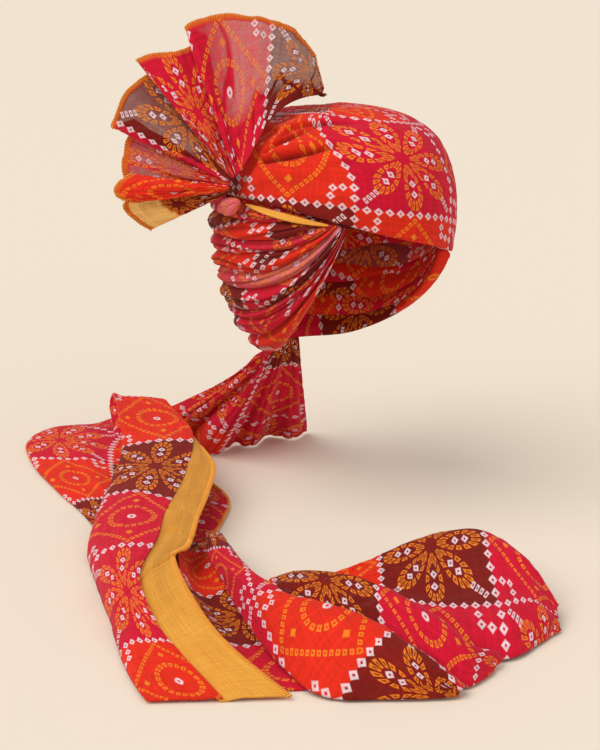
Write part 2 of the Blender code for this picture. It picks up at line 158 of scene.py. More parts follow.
# %% Signs that add Math nodes
class Value:
    """A number somewhere in a material, that Python's signs work on."""

    def __init__(self, shader, socket):
        self.shader = shader
        self.socket = socket

    def math(self, operation, *others, clamp=False):
        settings = {"operation": operation, "use_clamp": clamp}
        made = add_node(self.shader.tree, "ShaderNodeMath", settings, enumerate((self, *others)))
        return Value(self.shader, made.outputs[0])

    def __add__(self, other):
        return self.math("ADD", other)

    __radd__ = __add__

    def __mul__(self, other):
        return self.math("MULTIPLY", other)

    __rmul__ = __mul__

    def __sub__(self, other):
        return self.math("SUBTRACT", other)

    def __rsub__(self, other):
        return (self * -1) + other

    def __truediv__(self, other):
        return self.math("DIVIDE", other)

    def __abs__(self):
        return self.math("ABSOLUTE")

    def floor(self):
        return self.math("FLOOR")

    def part(self):
        return self.math("FRACT")

    def smaller(self, other):
        return self.math("MINIMUM", other)

    def larger(self, other):
        return self.math("MAXIMUM", other)

    def root(self):
        return self.math("SQRT")

    def clamped(self):
        return self.math("ADD", 0.0, clamp=True)

    def below(self, edge, soft):
        """1 where the value is under an edge, 0 over it, with a soft step."""
        return ((edge - self) * (1 / soft) + 0.5).clamped()


# %% Materials made of such values
class Shader:
    """A new material with one method for its nodes."""

    def __init__(self, name, **finish):
        self.material = bpy.data.materials.new(name)
        self.material.use_nodes = True
        self.tree = self.material.node_tree
        for socket, value in finish.items():
            self.feed(socket, value)

    def feed(self, socket, value):
        """Gives one of the surface's own sockets a value or a link."""
        surface = self.tree.nodes["Principled BSDF"]
        fill(self.tree, surface.inputs[socket.replace("_", " ")], value)

    def node(self, kind, settings=(), **values):
        return add_node(self.tree, f"ShaderNode{kind}", settings, values)

    def number(self, socket):
        return Value(self, socket)

    def cloth(self):
        """Metres along and across the piece's own cloth."""
        split = self.node("SeparateXYZ", Vector=self.node("UVMap", {"uv_map": "cloth"}).outputs["UV"])
        return self.number(split.outputs["X"]), self.number(split.outputs["Y"])

    def attribute(self, name):
        return self.number(self.node("Attribute", {"attribute_name": name}).outputs["Fac"])

    def noise(self, x, y, scale, detail, roughness=0.5):
        """Smooth noise from 0 to 1 over two lengths."""
        place = self.node("CombineXYZ", X=x, Y=y).outputs["Vector"]
        made = self.node("TexNoise", Vector=place, Scale=scale, Detail=detail, Roughness=roughness)
        return self.number(made.outputs["Fac"])

    def blend(self, low, high, share, way="MIX"):
        """A colour between two colours, by a share."""
        settings = {"data_type": "RGBA", "blend_type": way}
        return add_node(self.tree, "ShaderNodeMix", settings, {0: share, 6: low, 7: high}).outputs[2]

    def bump(self, height, depth):
        made = self.node("Bump", Strength=1.0, Distance=depth, Height=height)
        self.feed("Normal", made.outputs["Normal"])


# %% The floor
FLOOR_COLOUR, FLOOR_HALF = (0.84, 0.755, 0.645), 14


def make_floor():
    signs = ((-1, -1), (1, -1), (1, 1), (-1, 1))
    corners = [(x * FLOOR_HALF, y * FLOOR_HALF, -BROW_HEIGHT) for x, y in signs]
    mesh = bpy.data.meshes.new("floor")
    mesh.from_pydata(corners, [], [(0, 1, 2, 3)])
    mesh.materials.append(Shader("paper", Base_Color=FLOOR_COLOUR, Roughness=0.9).material)
    show("floor", mesh)


make_floor()

# %% [markdown]
# ## The printed voile
#
# The cloth carries a tie-dye pattern called bandhani: square fields, about nine centimetres wide, parted by
# rows of pale dots that stand on a corner. Each field holds a flower or a diamond drawn in small hollow
# orange squares. A dot is a spot of cloth that was tied off from the dye, so its edge is soft and its centre
# takes a little of the ground colour. The fields are folded onto one eighth of themselves before drawing,
# which keeps the number of nodes small.

# %% Cloth colours
CRIMSON = (0.60, 0.005, 0.030)
SCARLET = (0.73, 0.024, 0.008)
MAROON = (0.195, 0.009, 0.006)
ORANGE = (0.82, 0.225, 0.014)
PALE = (0.80, 0.62, 0.68)
ROSE = (0.72, 0.17, 0.19)
THREAD = (0.86, 0.30, 0.015)

# %% Field sizes
FIELD = 0.088
DOTS = 11
DOT_REACH = 0.40
DOT_EYE = 0.13
# in half fields, from a field's middle
PETAL_MIDDLE, PETAL_REACH, PETAL_SQUARES = 0.52, 0.32, 14
NEAR_SPOT, FAR_SPOT = 0.46, 0.64
DIAMOND_REACH, DIAMOND_PITCH = 0.90, 0.135
RING_REACH, RING_SQUARES = 0.36, 20


# %% Pale rows between fields
def row_dots(across, along):
    """Diamonds on the lines where across is whole, by the row's own pitch. Both are counted in fields."""
    off_line = (0.5 - abs(across.part() - 0.5)) * DOTS
    off_spot = 0.5 - abs((along * DOTS).part() - 0.5)
    reach = off_line + off_spot
    return reach.below(DOT_REACH, 0.09) * (1 - reach.below(DOT_EYE, 0.07))


# %% Small squares strung along a line
def strung(off_line, width, along):
    """Hollow squares on a line: how far off the line, half the width, and a count along it."""
    off_spot = abs(along.part() - 0.5) * 2
    reach = (off_line / width).larger(off_spot * 1.55)
    return reach.below(1.0, 0.22) * (1 - reach.below(0.45, 0.22) * 0.85)


# %% The flower field and the diamond field
def flower(x, y):
    """Orange and pale masks of eight petals, with pale dots along the field's diagonals."""
    eighth = math.pi / 4
    far = (x * x + y * y).root()
    angle = y.math("ARCTAN2", x)
    folded = (((angle / eighth) + 0.5).part() - 0.5) * eighth
    along = far * folded.math("COSINE")
    aside = abs(far * folded.math("SINE"))
    width = 0.055 + along * 0.13
    out = (along - PETAL_MIDDLE) / PETAL_REACH
    side = aside / width
    rim = abs((out * out + side * side).root() - 1.0) * 0.14
    orange = strung(rim, 0.036, side.math("ARCTAN2", out) * (PETAL_SQUARES / (2 * math.pi)))
    spot = abs(along - NEAR_SPOT).smaller(abs(along - FAR_SPOT)) + aside
    spots = spot.below(0.066, 0.02) * (1 - spot.below(0.022, 0.015))
    across, upright = abs(x), abs(y)
    diagonal = (across + upright) * 0.5
    within = abs(diagonal - 0.75).below(0.115, 0.02)
    corner = strung(abs(across - upright) * 0.5, 0.034, diagonal * (1 / 0.0575) - 0.04) * within
    return orange, spots.larger(corner)


def diamond(x, y):
    """Orange and pale masks of a large diamond round a ring, with three pale dots in each corner."""
    across, upright = abs(x), abs(y)
    big, small = across.larger(upright), across.smaller(upright)
    edge = strung(abs(across + upright - DIAMOND_REACH), 0.050, (across - upright) * (1 / DIAMOND_PITCH))
    far = (x * x + y * y).root()
    ring = strung(abs(far - RING_REACH), 0.042, y.math("ARCTAN2", x) * (RING_SQUARES / (2 * math.pi)))
    single = (abs(big - 0.60) + small).below(0.065, 0.03)
    corner = (abs(big - 0.83) + abs(small - 0.65)).smaller(abs(big - 0.68) + abs(small - 0.68))
    spot = far.smaller(corner)
    return edge.larger(ring).larger(single), spot.below(0.070, 0.02) * (1 - spot.below(0.025, 0.015))


# %% Which field a spot lies in
def field_masks(along, across):
    """Masks of the orange and pale spots, and the field's kind: 0 and 2 hold a diamond, 1 and 3 a flower."""
    u, v = along / FIELD, across / FIELD
    x, y = u.part() * 2 - 1, v.part() * 2 - 1
    shift = (along.shader.attribute("shift") + 0.5).floor()
    kind = ((u.floor() + abs(v.floor()) * 3 + shift).math("MODULO", 4.0) + 4.0).math("MODULO", 4.0)
    odd = (kind.math("MODULO", 2.0) - 0.5).math("SIGN", clamp=True)
    flower_orange, flower_pale = flower(x, y)
    diamond_orange, diamond_pale = diamond(x, y)
    orange = flower_orange * odd + diamond_orange * (1 - odd)
    pale = (flower_pale * odd + diamond_pale * (1 - odd)).larger(row_dots(u, v).larger(row_dots(v, u)))
    return orange, pale, kind


# %% The cloth's finish
HEM_COLOUR, END_COLOUR = (0.68, 0.14, 0.013), (0.86, 0.50, 0.15)
THREAD_PITCH = 0.0011


def voile(name, cover=1.0):
    """Printed voile. Cover under 1 is how much of a single layer that light comes through is thread."""
    shader = Shader(name, Roughness=0.82, Specular_IOR_Level=0.14, Sheen_Weight=0.05, Sheen_Roughness=0.5)
    along, across = shader.cloth()
    drift = shader.noise(along, across, 170, 1.0) - 0.5
    sway = shader.noise(across, along, 150, 1.0) - 0.5
    orange, pale, kind = field_masks(along + drift * 0.0010, across + sway * 0.0010)
    ground = shader.blend(SCARLET, MAROON, (kind - 2.5).math("SIGN", clamp=True))
    pair = (abs(kind - 1.5) * -1 + 1.0).math("SIGN", clamp=True)
    ground = shader.blend(ground, CRIMSON, pair)
    patches = shader.noise(along, across, 22, 2.0)
    weft = shader.noise(along * 30, across * 500, 1, 1.0)
    warp = shader.noise(along * 420, across * 26, 1, 1.0)
    threads = weft * 0.5 + warp * 0.5
    ground = shader.blend(ground, SCARLET, ((patches - 0.45) * 1.2).clamped() * 0.22)
    worn = 0.72 + shader.noise(along, across, 330, 1.0) * 0.42
    colour = shader.blend(ground, ROSE, shader.attribute("faded"))
    colour = shader.blend(colour, ORANGE, (orange * worn).clamped())
    colour = shader.blend(colour, PALE, (pale * worn).clamped())
    colour = shader.blend(colour, HEM_COLOUR, shader.attribute("hem"))
    colour = shader.blend(colour, END_COLOUR, shader.attribute("golden"))
    # Thread tone, times painted shade that darkens the colour in creases and fold valleys.
    depth = ((threads - 0.5) * 0.9 + 0.98) * (1 - shader.attribute("painted_crease_shade"))
    depth = shader.node("CombineColor", Red=depth, Green=depth, Blue=depth).outputs["Color"]
    colour = shader.blend(colour, depth, 1.0, "MULTIPLY")
    shader.feed("Base Color", colour)
    pitch = 2 * math.pi / THREAD_PITCH
    weave = (along * pitch).math("SINE") * (across * pitch).math("SINE")
    crumple = shader.noise(along * 60, across * 130, 1, 3.0, 0.6)
    shader.bump(crumple + weave * 0.04 + threads * 0.2, 0.0008)
    if cover < 1:
        woven = cover + (threads - 0.5) * 0.45 + orange.larger(pale) * 0.16
        solid = 1 - shader.attribute("thin")
        shader.feed("Alpha", (woven + solid).clamped())
    return shader.material


printed_voile = voile("printed_voile")
sheer_voile = voile("sheer_voile", cover=0.58)
print("voile nodes:", len(printed_voile.node_tree.nodes))

# %% [markdown]
# ## Gold border and sewn edge
#
# The strip ends in a plain golden border with thick and thin threads, and its raw edges are overlocked with
# a bright orange thread.

# %% Gold weave and thread
def gold_weave(name):
    shader = Shader(name, Roughness=0.6, Specular_IOR_Level=0.25, Sheen_Weight=0.08, Sheen_Roughness=0.4)
    along, across = shader.cloth()
    slub = shader.noise(along * 22, across * 1100, 1, 2.0)
    warp = shader.noise(along * 1100, across * 26, 1, 2.0)
    cloudy = shader.noise(along, across, 35, 2.0)
    depth = 0.48 + (slub - 0.5) * 1.2 + (warp - 0.5) * 1.0 + (cloudy - 0.5) * 0.8
    colour = shader.blend((0.68, 0.265, 0.018), (0.87, 0.435, 0.065), depth.clamped())
    shader.feed("Base Color", colour)
    shader.bump(slub + warp, 0.0006)
    return shader.material


def sewing_thread(name):
    shader = Shader(name, Roughness=0.5, Sheen_Weight=0.4, Sheen_Roughness=0.35)
    spot = shader.node("TexCoord").outputs["Object"]
    noise = shader.number(shader.node("TexNoise", Vector=spot, Scale=420.0, Detail=1.0).outputs["Fac"])
    shader.feed("Base Color", shader.blend(THREAD, (0.92, 0.46, 0.05), noise))
    return shader.material


gold_cloth = gold_weave("gold_weave")
overlock_thread = sewing_thread("overlock_thread")

# %% [markdown]
# ## From a grid of points to cloth
#
# Every stretch is a grid of points that a rule gives. The same three steps then make it cloth: lengths
# measured over the grid give the pattern its place, small folds push the points along the surface's own
# direction, and a wall modifier gives it its thickness.

# %% Numbers between numbers
def mix(low, high, share):
    return low + (high - low) * share


def ramp(share):
    """0 to 1 with level ends."""
    share = np.clip(share, 0, 1)
    return share * share * (3 - 2 * share)


def shares(count):
    return np.linspace(0, 1, count + 1)


def spline(rows, place):
    """Rows of numbers read at places from 0 to 1 on a smooth curve."""
    rows = np.asarray(rows, float)
    spans = len(rows) - 1
    place = np.asarray(place, float) * spans
    span = np.clip(place.astype(int), 0, spans - 1)
    t = (place - span)[..., None]
    b, c, d, e = (rows[np.clip(span + step, 0, spans)] for step in (-1, 0, 1, 2))
    return 0.5 * (2 * c + (d - b) * t + (2 * b - 5 * c + 4 * d - e) * t**2 + (3 * c - b - 3 * d + e) * t**3)


# %% Noise that a piece can be folded by
class Ripples:
    """Smooth noise from -1 to 1 over a plane, the same at each run."""

    def __init__(self, seed):
        self.table = np.random.default_rng(seed).uniform(-1, 1, (128, 128))

    def at(self, x, y):
        column, row = np.floor(x).astype(int), np.floor(y).astype(int)
        s, t = ramp(x - column), ramp(y - row)
        corner = [[self.table[(row + j) % 128, (column + i) % 128] for i in (0, 1)] for j in (0, 1)]
        return mix(mix(corner[0][0], corner[0][1], s), mix(corner[1][0], corner[1][1], s), t)

    def crumple(self, x, y):
        """Sharp small ridges: noise folded at its middle, in three sizes."""
        total, size = 0, 1
        for level in range(3):
            bend = self.at(x * 0.5 * 2**level + 7, y * 0.5 * 2**level + 3)
            total = total + size * (0.5 - np.abs(self.at(x * 2**level + bend, y * 2**level - bend)))
            size *= 0.5
        return total


# %% Lengths and directions over a grid
def lengths(grid, along):
    """Running length in metres over a grid, along its first or second way, evened out across the other."""
    steps = np.linalg.norm(np.diff(grid, axis=along), axis=2).mean(axis=1 - along)
    run = np.concatenate(([0], np.cumsum(steps)))
    shape = (-1, 1) if along == 0 else (1, -1)
    return np.broadcast_to(run.reshape(shape), grid.shape[:2])


def unit(way):
    return way / np.linalg.norm(way, axis=-1, keepdims=True)


def outward(grid):
    """The surface's own direction at each point of a grid."""
    facing = np.cross(np.gradient(grid, axis=0), np.gradient(grid, axis=1))
    size = np.linalg.norm(facing, axis=2, keepdims=True)
    return facing / np.maximum(size, 1e-12)


# %% Grid to mesh
def grid_mesh(name, grid, u, v, shades=(), ring=False):
    """A mesh of a grid of points, with a UV map in metres of cloth. A ring joins each row's ends.

    Shades are numbers for each point, by name, that the material reads.
    """
    rows, columns = grid.shape[:2]
    index = np.arange(rows * columns).reshape(rows, columns)
    if ring:
        index = np.concatenate((index, index[:, :1]), axis=1)
        u = np.concatenate((u, 2 * u[:, -1:] - u[:, -2:-1]), axis=1)
        v = np.concatenate((v, v[:, :1]), axis=1)
    low, high = index[:-1], index[1:]
    quads = np.stack((low[:, :-1], low[:, 1:], high[:, 1:], high[:, :-1]), axis=-1).reshape(-1, 4)
    mesh = bpy.data.meshes.new(name)
    mesh.from_pydata(grid.reshape(-1, 3).tolist(), [], quads.tolist())
    layer = mesh.uv_layers.new(name="cloth")
    maps = np.stack((u, v), axis=-1)
    corners = np.stack((maps[:-1, :-1], maps[:-1, 1:], maps[1:, 1:], maps[1:, :-1]), axis=2)
    layer.data.foreach_set("uv", corners.reshape(-1).astype(np.float32))
    for shade, values in dict(shades).items():
        layer = mesh.attributes.new(shade, "FLOAT", "POINT")
        values = np.broadcast_to(values, (rows, columns))
        layer.data.foreach_set("value", np.ascontiguousarray(values, np.float32).ravel())
    return mesh


def close_up(mesh, close):
    """Closes a mesh by a function of its bmesh, and turns the faces outwards."""
    made = bmesh.new()
    made.from_mesh(mesh)
    made.verts.ensure_lookup_table()
    close(made)
    bmesh.ops.recalc_face_normals(made, faces=made.faces)
    made.to_mesh(mesh)
    made.free()


# %% Mesh to piece
CLOTH, THIN_CLOTH = 0.0015, 0.001
stretches = {}


def finish_piece(piece, slot, *nodes):
    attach(piece, "root")
    if nodes:
        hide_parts(*nodes)
    print(piece.name, len(piece.data.polygons), "faces")
    return piece


def dress(name, mesh, slot, material, thickness=0):
    """Shows a mesh as a node's cloth, in the node's place. Thickness is for a mesh of one layer."""
    mesh.materials.append(material)
    mesh.shade_smooth()
    piece = show(name + "_cloth", mesh)
    if thickness:
        wall = piece.modifiers.new("wall", "SOLIDIFY")
        wall.thickness = thickness
        wall.offset = 0
    return finish_piece(piece, slot, name)


def roll(name, grid, u, v, shades, slot):
    """A closed roll of cloth from a grid of rings. Its first and last ring are filled."""
    rows, columns = grid.shape[:2]
    mesh = grid_mesh(name, grid, u, v, shades, ring=True)

    def cap_ends(made):
        made.faces.new([made.verts[i] for i in range(columns)])
        made.faces.new([made.verts[(rows - 1) * columns + i] for i in reversed(range(columns))])

    close_up(mesh, cap_ends)
    return dress(name, mesh, slot, printed_voile)


def cloth(name, grid, material, slot="tail_cloth", thickness=CLOTH, start=(0, 0), folds=0, shades=(),
          ways=(1, 1), printed=None):
    """One stretch of cloth from its grid: measured, folded, given a wall and set on the frame.

    Start is the print's place at the grid's first corner, and ways are -1 where the print runs the other way.
    Printed, where it is given, turns the lengths along and across into the print's place at each point.
    """
    along, across = lengths(grid, 0), lengths(grid, 1)
    if printed:
        along, across = printed(along, across)
    along, across = start[0] + ways[0] * along, start[1] + ways[1] * across
    grid = grid + outward(grid) * np.asarray(folds)[..., None]
    stretches[name] = grid
    return dress(name, grid_mesh(name, grid, along, across, shades), slot, material, thickness)


# %% [markdown]
# ## An overlocked edge
#
# Overlock is a row of thread loops that wrap the raw edge. One loop is an oval ring of thread. A node group
# sets it along the edge at an even pitch, across the edge and leaning a little along it, because hundreds of
# like loops are too many to place by hand. Pitch, reach, rise and thread are the group's own inputs.

# %% The rule for a row of loops
LOOP_LEAN = (0.35, 0.35, 0.35)
LOOP_SIDES, THREAD_SIDES = 9, 4


def overlock_rule():
    tree = bpy.data.node_groups.new("overlock", "GeometryNodeTree")
    face = tree.interface
    face.new_socket("Edge", in_out="INPUT", socket_type="NodeSocketGeometry")
    for name in ("Pitch", "Reach", "Rise", "Thread"):
        face.new_socket(name, in_out="INPUT", socket_type="NodeSocketFloat")
    face.new_socket("Material", in_out="INPUT", socket_type="NodeSocketMaterial")
    face.new_socket("Stitches", in_out="OUTPUT", socket_type="NodeSocketGeometry")

    def node(kind, settings=(), *values, **named):
        return add_node(tree, kind, settings, {**dict(enumerate(values)), **named}).outputs

    given = node("NodeGroupInput")
    curve = node("GeometryNodeMeshToCurve", Mesh=given["Edge"])["Curve"]
    spots = node("GeometryNodeCurveToPoints", {"mode": "LENGTH"}, Curve=curve, Length=given["Pitch"])
    vector = {"data_type": "FLOAT_VECTOR"}
    inward = node("GeometryNodeInputNamedAttribute", vector, Name="inward")["Attribute"]
    lean = node("ShaderNodeVectorMath", {"operation": "MULTIPLY_ADD"}, inward, LOOP_LEAN, spots["Tangent"])
    axes = {"primary_axis": "Z", "secondary_axis": "X"}
    turn = node("FunctionNodeAxesToRotation", axes, lean["Vector"], inward)[0]
    circle, by_radius = "GeometryNodeCurvePrimitiveCircle", {"mode": "RADIUS"}
    ring = node(circle, by_radius, Resolution=LOOP_SIDES, Radius=1.0)["Curve"]
    size = node("ShaderNodeCombineXYZ", X=given["Reach"], Y=given["Rise"], Z=1.0)["Vector"]
    oval = node("GeometryNodeTransform", Geometry=ring, Scale=size)["Geometry"]
    section = node(circle, by_radius, Resolution=THREAD_SIDES, Radius=given["Thread"])["Curve"]
    loop = node("GeometryNodeCurveToMesh", Curve=oval, Profile_Curve=section)["Mesh"]
    placed = node("GeometryNodeInstanceOnPoints", Points=spots["Points"], Instance=loop, Rotation=turn)
    whole = node("GeometryNodeRealizeInstances", Geometry=placed["Instances"])
    dressed = node("GeometryNodeSetMaterial", Geometry=whole["Geometry"], Material=given["Material"])
    node("NodeGroupOutput", Stitches=dressed["Geometry"])
    return tree


OVERLOCK = overlock_rule()


# %% A row of loops along a line
def overlock(name, edge, inner, pitch, reach, rise, thread):
    """Loops over an edge, given as a line of points, with inner, the points next to it in the cloth."""
    inward = unit(inner - edge)
    line = edge + inward * reach * 0.75
    mesh = bpy.data.meshes.new(name + "_line")
    mesh.from_pydata(line.tolist(), [(i, i + 1) for i in range(len(line) - 1)], [])
    layer = mesh.attributes.new("inward", "FLOAT_VECTOR", "POINT")
    layer.data.foreach_set("vector", inward.astype(np.float32).ravel())
    guide = show(name + "_line", mesh)
    rule = guide.modifiers.new("overlock", "NODES")
    rule.node_group = OVERLOCK
    values = {"Pitch": pitch, "Reach": reach, "Rise": rise, "Thread": thread, "Material": overlock_thread}
    for item in OVERLOCK.interface.items_tree:
        if item.in_out == "INPUT" and item.name in values:
            rule[item.identifier] = values[item.name]
    graph = bpy.context.evaluated_depsgraph_get()
    made = bpy.data.meshes.new_from_object(guide.evaluated_get(graph), depsgraph=graph)
    bpy.data.objects.remove(guide)
    made.shade_smooth()
    return finish_piece(show(name, made), "gold_cloth")


# %% [markdown]
# ## The head's shape
#
# Everything above the shoulders is wound on one rounded form: an oval in plan, squarer over the crown and
# rounder towards the nape. A point of the cloth is a direction from the middle of the head and an offset.

# %% The form that the cloth is wound on
HEAD_LENGTH, HEAD_BREADTH = 0.195, 0.155
CROWN_RISE, NAPE_DROP = 0.087, 0.125
CROWN_SQUARENESS, NAPE_SQUARENESS = 3.2, 2.0
HEAD_EASE, CROWN_WALL = 0.0005, 0.0105
GAP, RIM_GAP = 0.0004, 0.0009


def on_head(way, offset):
    """Points on the head, grown by an offset, along directions."""
    level = np.hypot(way[..., 0] / (HEAD_BREADTH / 2 + offset), way[..., 1] / (HEAD_LENGTH / 2 + offset))
    high = way[..., 2] > 0
    upright = np.abs(way[..., 2]) / (np.where(high, CROWN_RISE, NAPE_DROP) + offset)
    power = np.where(high, CROWN_SQUARENESS, NAPE_SQUARENESS)
    return way * ((level**power + upright**power) ** (-1 / power))[..., None]


def at_height(turn, height, offset):
    """Points on the grown head at a turn from the front, towards the wearer's right, and a height."""
    turn, height, offset = np.broadcast_arrays(turn, height, offset)
    high = height > 0
    share = np.abs(height) / (np.where(high, CROWN_RISE, NAPE_DROP) + offset)
    power = np.where(high, CROWN_SQUARENESS, NAPE_SQUARENESS)
    level = (1 - np.minimum(share, 0.999) ** power) ** (1 / power)
    side = -(HEAD_BREADTH / 2 + offset) * level * np.sin(turn)
    return np.stack((side, -(HEAD_LENGTH / 2 + offset) * level * np.cos(turn), height), axis=-1)


# %% The crown's lower edge
CROWN_RIM = (
    # turn from the front towards the wearer's right, height in percent of CROWN_RISE
    (-180, 27.5),
    (-150, 25),
    (-120, 17),
    (-90, 3),
    (-60, -14),
    (-30, -16),
    (0, -3),
    (30, 10),
    (60, 24),
    (90, 33),
    (120, 33.5),
    (150, 31),
    (180, 27.5),
)


def crown_low(turn):
    place = (np.asarray(turn) / (2 * math.pi) + 0.5) % 1
    return spline(CROWN_RIM, place)[..., 1] / 100 * CROWN_RISE


# %% Where the knot sits
KNOT_TURN = math.radians(103)
KNOT_LENGTH, KNOT_HEIGHT, KNOT_DEPTH = 0.030, 0.015, 0.015
knot_place = at_height(KNOT_TURN, crown_low(KNOT_TURN), HEAD_EASE + CROWN_WALL + KNOT_DEPTH / 2)
print("knot at", knot_place.round(3))

# %% [markdown]
# ## The crown
#
# The last layer is drawn tight over the forehead and gathered into the knot, so folds run out from there:
# three deep ones and three shallow ones. Behind the panel's edge the dome is closed by earlier layers, which
# lie like shallow steps. A sculptor's brush could make them too, but here all of it is one height above the
# head's form. Each fold follows one line of the table, and the steps follow the way up, so any of them moves
# when a few numbers change.

# %% The drawn folds
CREASES = (
    # in mm from the knot as the viewer sees them: start, middle and end, right and up, then depth and width
    (22, 31, 54, 35, 94, 41, 5.6, 2.2),
    (24, 36, 45, 49, 72, 58, 4.4, 2.6),
    (38, 50, 62, 60, 108, 59, 4.0, 2.4),
    (20, 26, 44, 31, 78, 32, 1.0, 3.2),
    (12, 8, 42, 15, 84, 9, 0.9, 4.6),
    (70, 22, 92, 26, 112, 22, 0.9, 4.2),
)
PANEL_SIDE = (
    # the panel's rear edge beside the knot, in mm from the knot: right, up
    (1, 3),
    (8, 13),
    (16, 23),
    (24, 33),
    (31, 43),
    (42, 54),
    (60, 63),
    (96, 66),
)
PANEL_PROUD = 0.0030
PANEL_EDGE = (
    # angle up from the wearer's right in degrees, how far back a direction to the panel's rear edge points
    (25, 0.20),
    (47, 0.01),
    (69, 0.05),
    (91, 0.13),
    (113, 0.20),
    (135, 0.26),
    (157, 0.30),
)
LAYER_STEPS, LAYER_STEP = 5.2, 0.0024
CREASE_POINTS = 70
RIGHTWARD, AWAY, UPWARD = np.array(view_right), np.array(view_away), np.array((0.0, 0.0, 1.0))
ripples = Ripples(11)


def drawn_line(point, line):
    """How far above a line in the viewer's plane each point lies, and its place along the line."""
    path = spline(np.reshape(line, (-1, 2)), shares(CREASE_POINTS)) / 1000
    way = unit(np.gradient(path, axis=0))
    off = point - knot_place
    off = np.stack((off @ RIGHTWARD, off @ np.array(view_up)), axis=-1)
    far = np.linalg.norm(off[..., None, :] - path, axis=-1)
    near = np.argmin(far, axis=-1)
    apart = off - path[near]
    above = way[near][..., 0] * apart[..., 1] - way[near][..., 1] * apart[..., 0]
    return np.where(above < 0, -1, 1) * far.min(axis=-1), near / CREASE_POINTS


def drawn_folds(point, way):
    """How deep the folds that leave the knot cut in at each point: a sharp step up over each crease."""
    total = 0
    for *line, depth, width in CREASES:
        above, share = drawn_line(point, line)
        above = above / (width / 1000)
        fade = ramp(share / 0.10) * ramp((1 - share) / 0.5)
        valley = np.exp(-((above / np.where(above > 0, 0.45, 1.3)) ** 2))
        lobe = np.exp(-(((above - 2.3) / 1.5) ** 2)) * 0.45
        total = total + depth / 1000 * (valley - lobe) * fade
    return total * ramp((0.3 - way @ AWAY) / 0.3)


# %% The layers behind the panel
def panel_cover(way, point):
    """1 on the front panel, 0 behind its rear edge."""
    angle = np.degrees(np.arctan2(way[..., 2], -way[..., 0]))
    place = np.clip((angle - PANEL_EDGE[0][0]) / (PANEL_EDGE[-1][0] - PANEL_EDGE[0][0]), 0, 1)
    edge = spline(PANEL_EDGE, place)[..., 1]
    over = ramp((edge - way[..., 1]) / 0.05 + 0.5)
    above, share = drawn_line(point, PANEL_SIDE)
    beside = 1 - ramp(0.5 + above / 0.0016) * ramp((1 - share) / 0.35)
    return mix(over, beside, ramp((0.30 - way @ AWAY) / 0.25))


def layer_steps(share, turn):
    """The shallow steps of the earlier layers, highest at each layer's lower edge."""
    stray = ripples.at(1.5 * np.cos(turn) + 9, share * 3 + 1.5 * np.sin(turn))
    count = share * LAYER_STEPS + 0.55 * np.sin(turn - 0.6) + 0.25 * stray
    part = count - np.floor(count)
    return ramp(part / 0.16) * (1 - part) - 0.3


# %% The crown's print
ROW_RISE = 0.024
PRINT_START, PRINT_DRAG = 0.157, 0.030


def row_rise(turn):
    """How far above the crown's edge its lowest pale row runs: they meet at the knot."""
    turn = np.degrees((turn + math.pi) % (2 * math.pi) - math.pi)
    rise = np.sin(math.pi / 2 * np.clip((105 - turn) / 122, 0, 1) ** 1.15)
    return ROW_RISE * rise * ramp((180 + turn) / 100)


def crown_print(turn, along, across):
    """The print's place, dragged sideways where the panel is pulled up from the brow to the knot."""
    drag = PRINT_DRAG * ramp((across - 0.030) / 0.055) * np.exp(-(((np.degrees(turn) - 62) / 34) ** 2))
    return PRINT_START - along + drag, across - row_rise(turn)


# %% The crown's mesh
CROWN_AROUND, CROWN_UP = 460, 136
SEEN_SIDE, CROWDING = 1.1, 0.45
CROWN_RADIUS = 0.084
CRINKLE, LEAN, RIM_HEM = 0.0004, 0.0008, 0.0006
SEAM_CALM = 0.15
# how dark the painted shade in the crown's creases gets, and the fold depth where it is darkest
CREASE_SHADE, SHADED_DEPTH = 0.6, 0.005


def crown_ways(turn, share):
    """Directions from the middle of the head, from the crown's edge at share 0 to its top at 1."""
    foot = unit(at_height(turn, crown_low(turn), HEAD_EASE))
    top = np.array((0.0, 0.0, 1.0))
    apart = np.arccos(np.clip(foot @ top, -1, 1))[..., None]
    reach = np.minimum(share, 0.997)[..., None]
    return (np.sin((1 - reach) * apart) * foot + np.sin(reach * apart) * top) / np.sin(apart)


def close_poles(made):
    """Merges each end row that stands on one point."""
    bmesh.ops.remove_doubles(made, verts=made.verts, dist=1e-6)
    bmesh.ops.dissolve_degenerate(made, edges=made.edges, dist=1e-7)


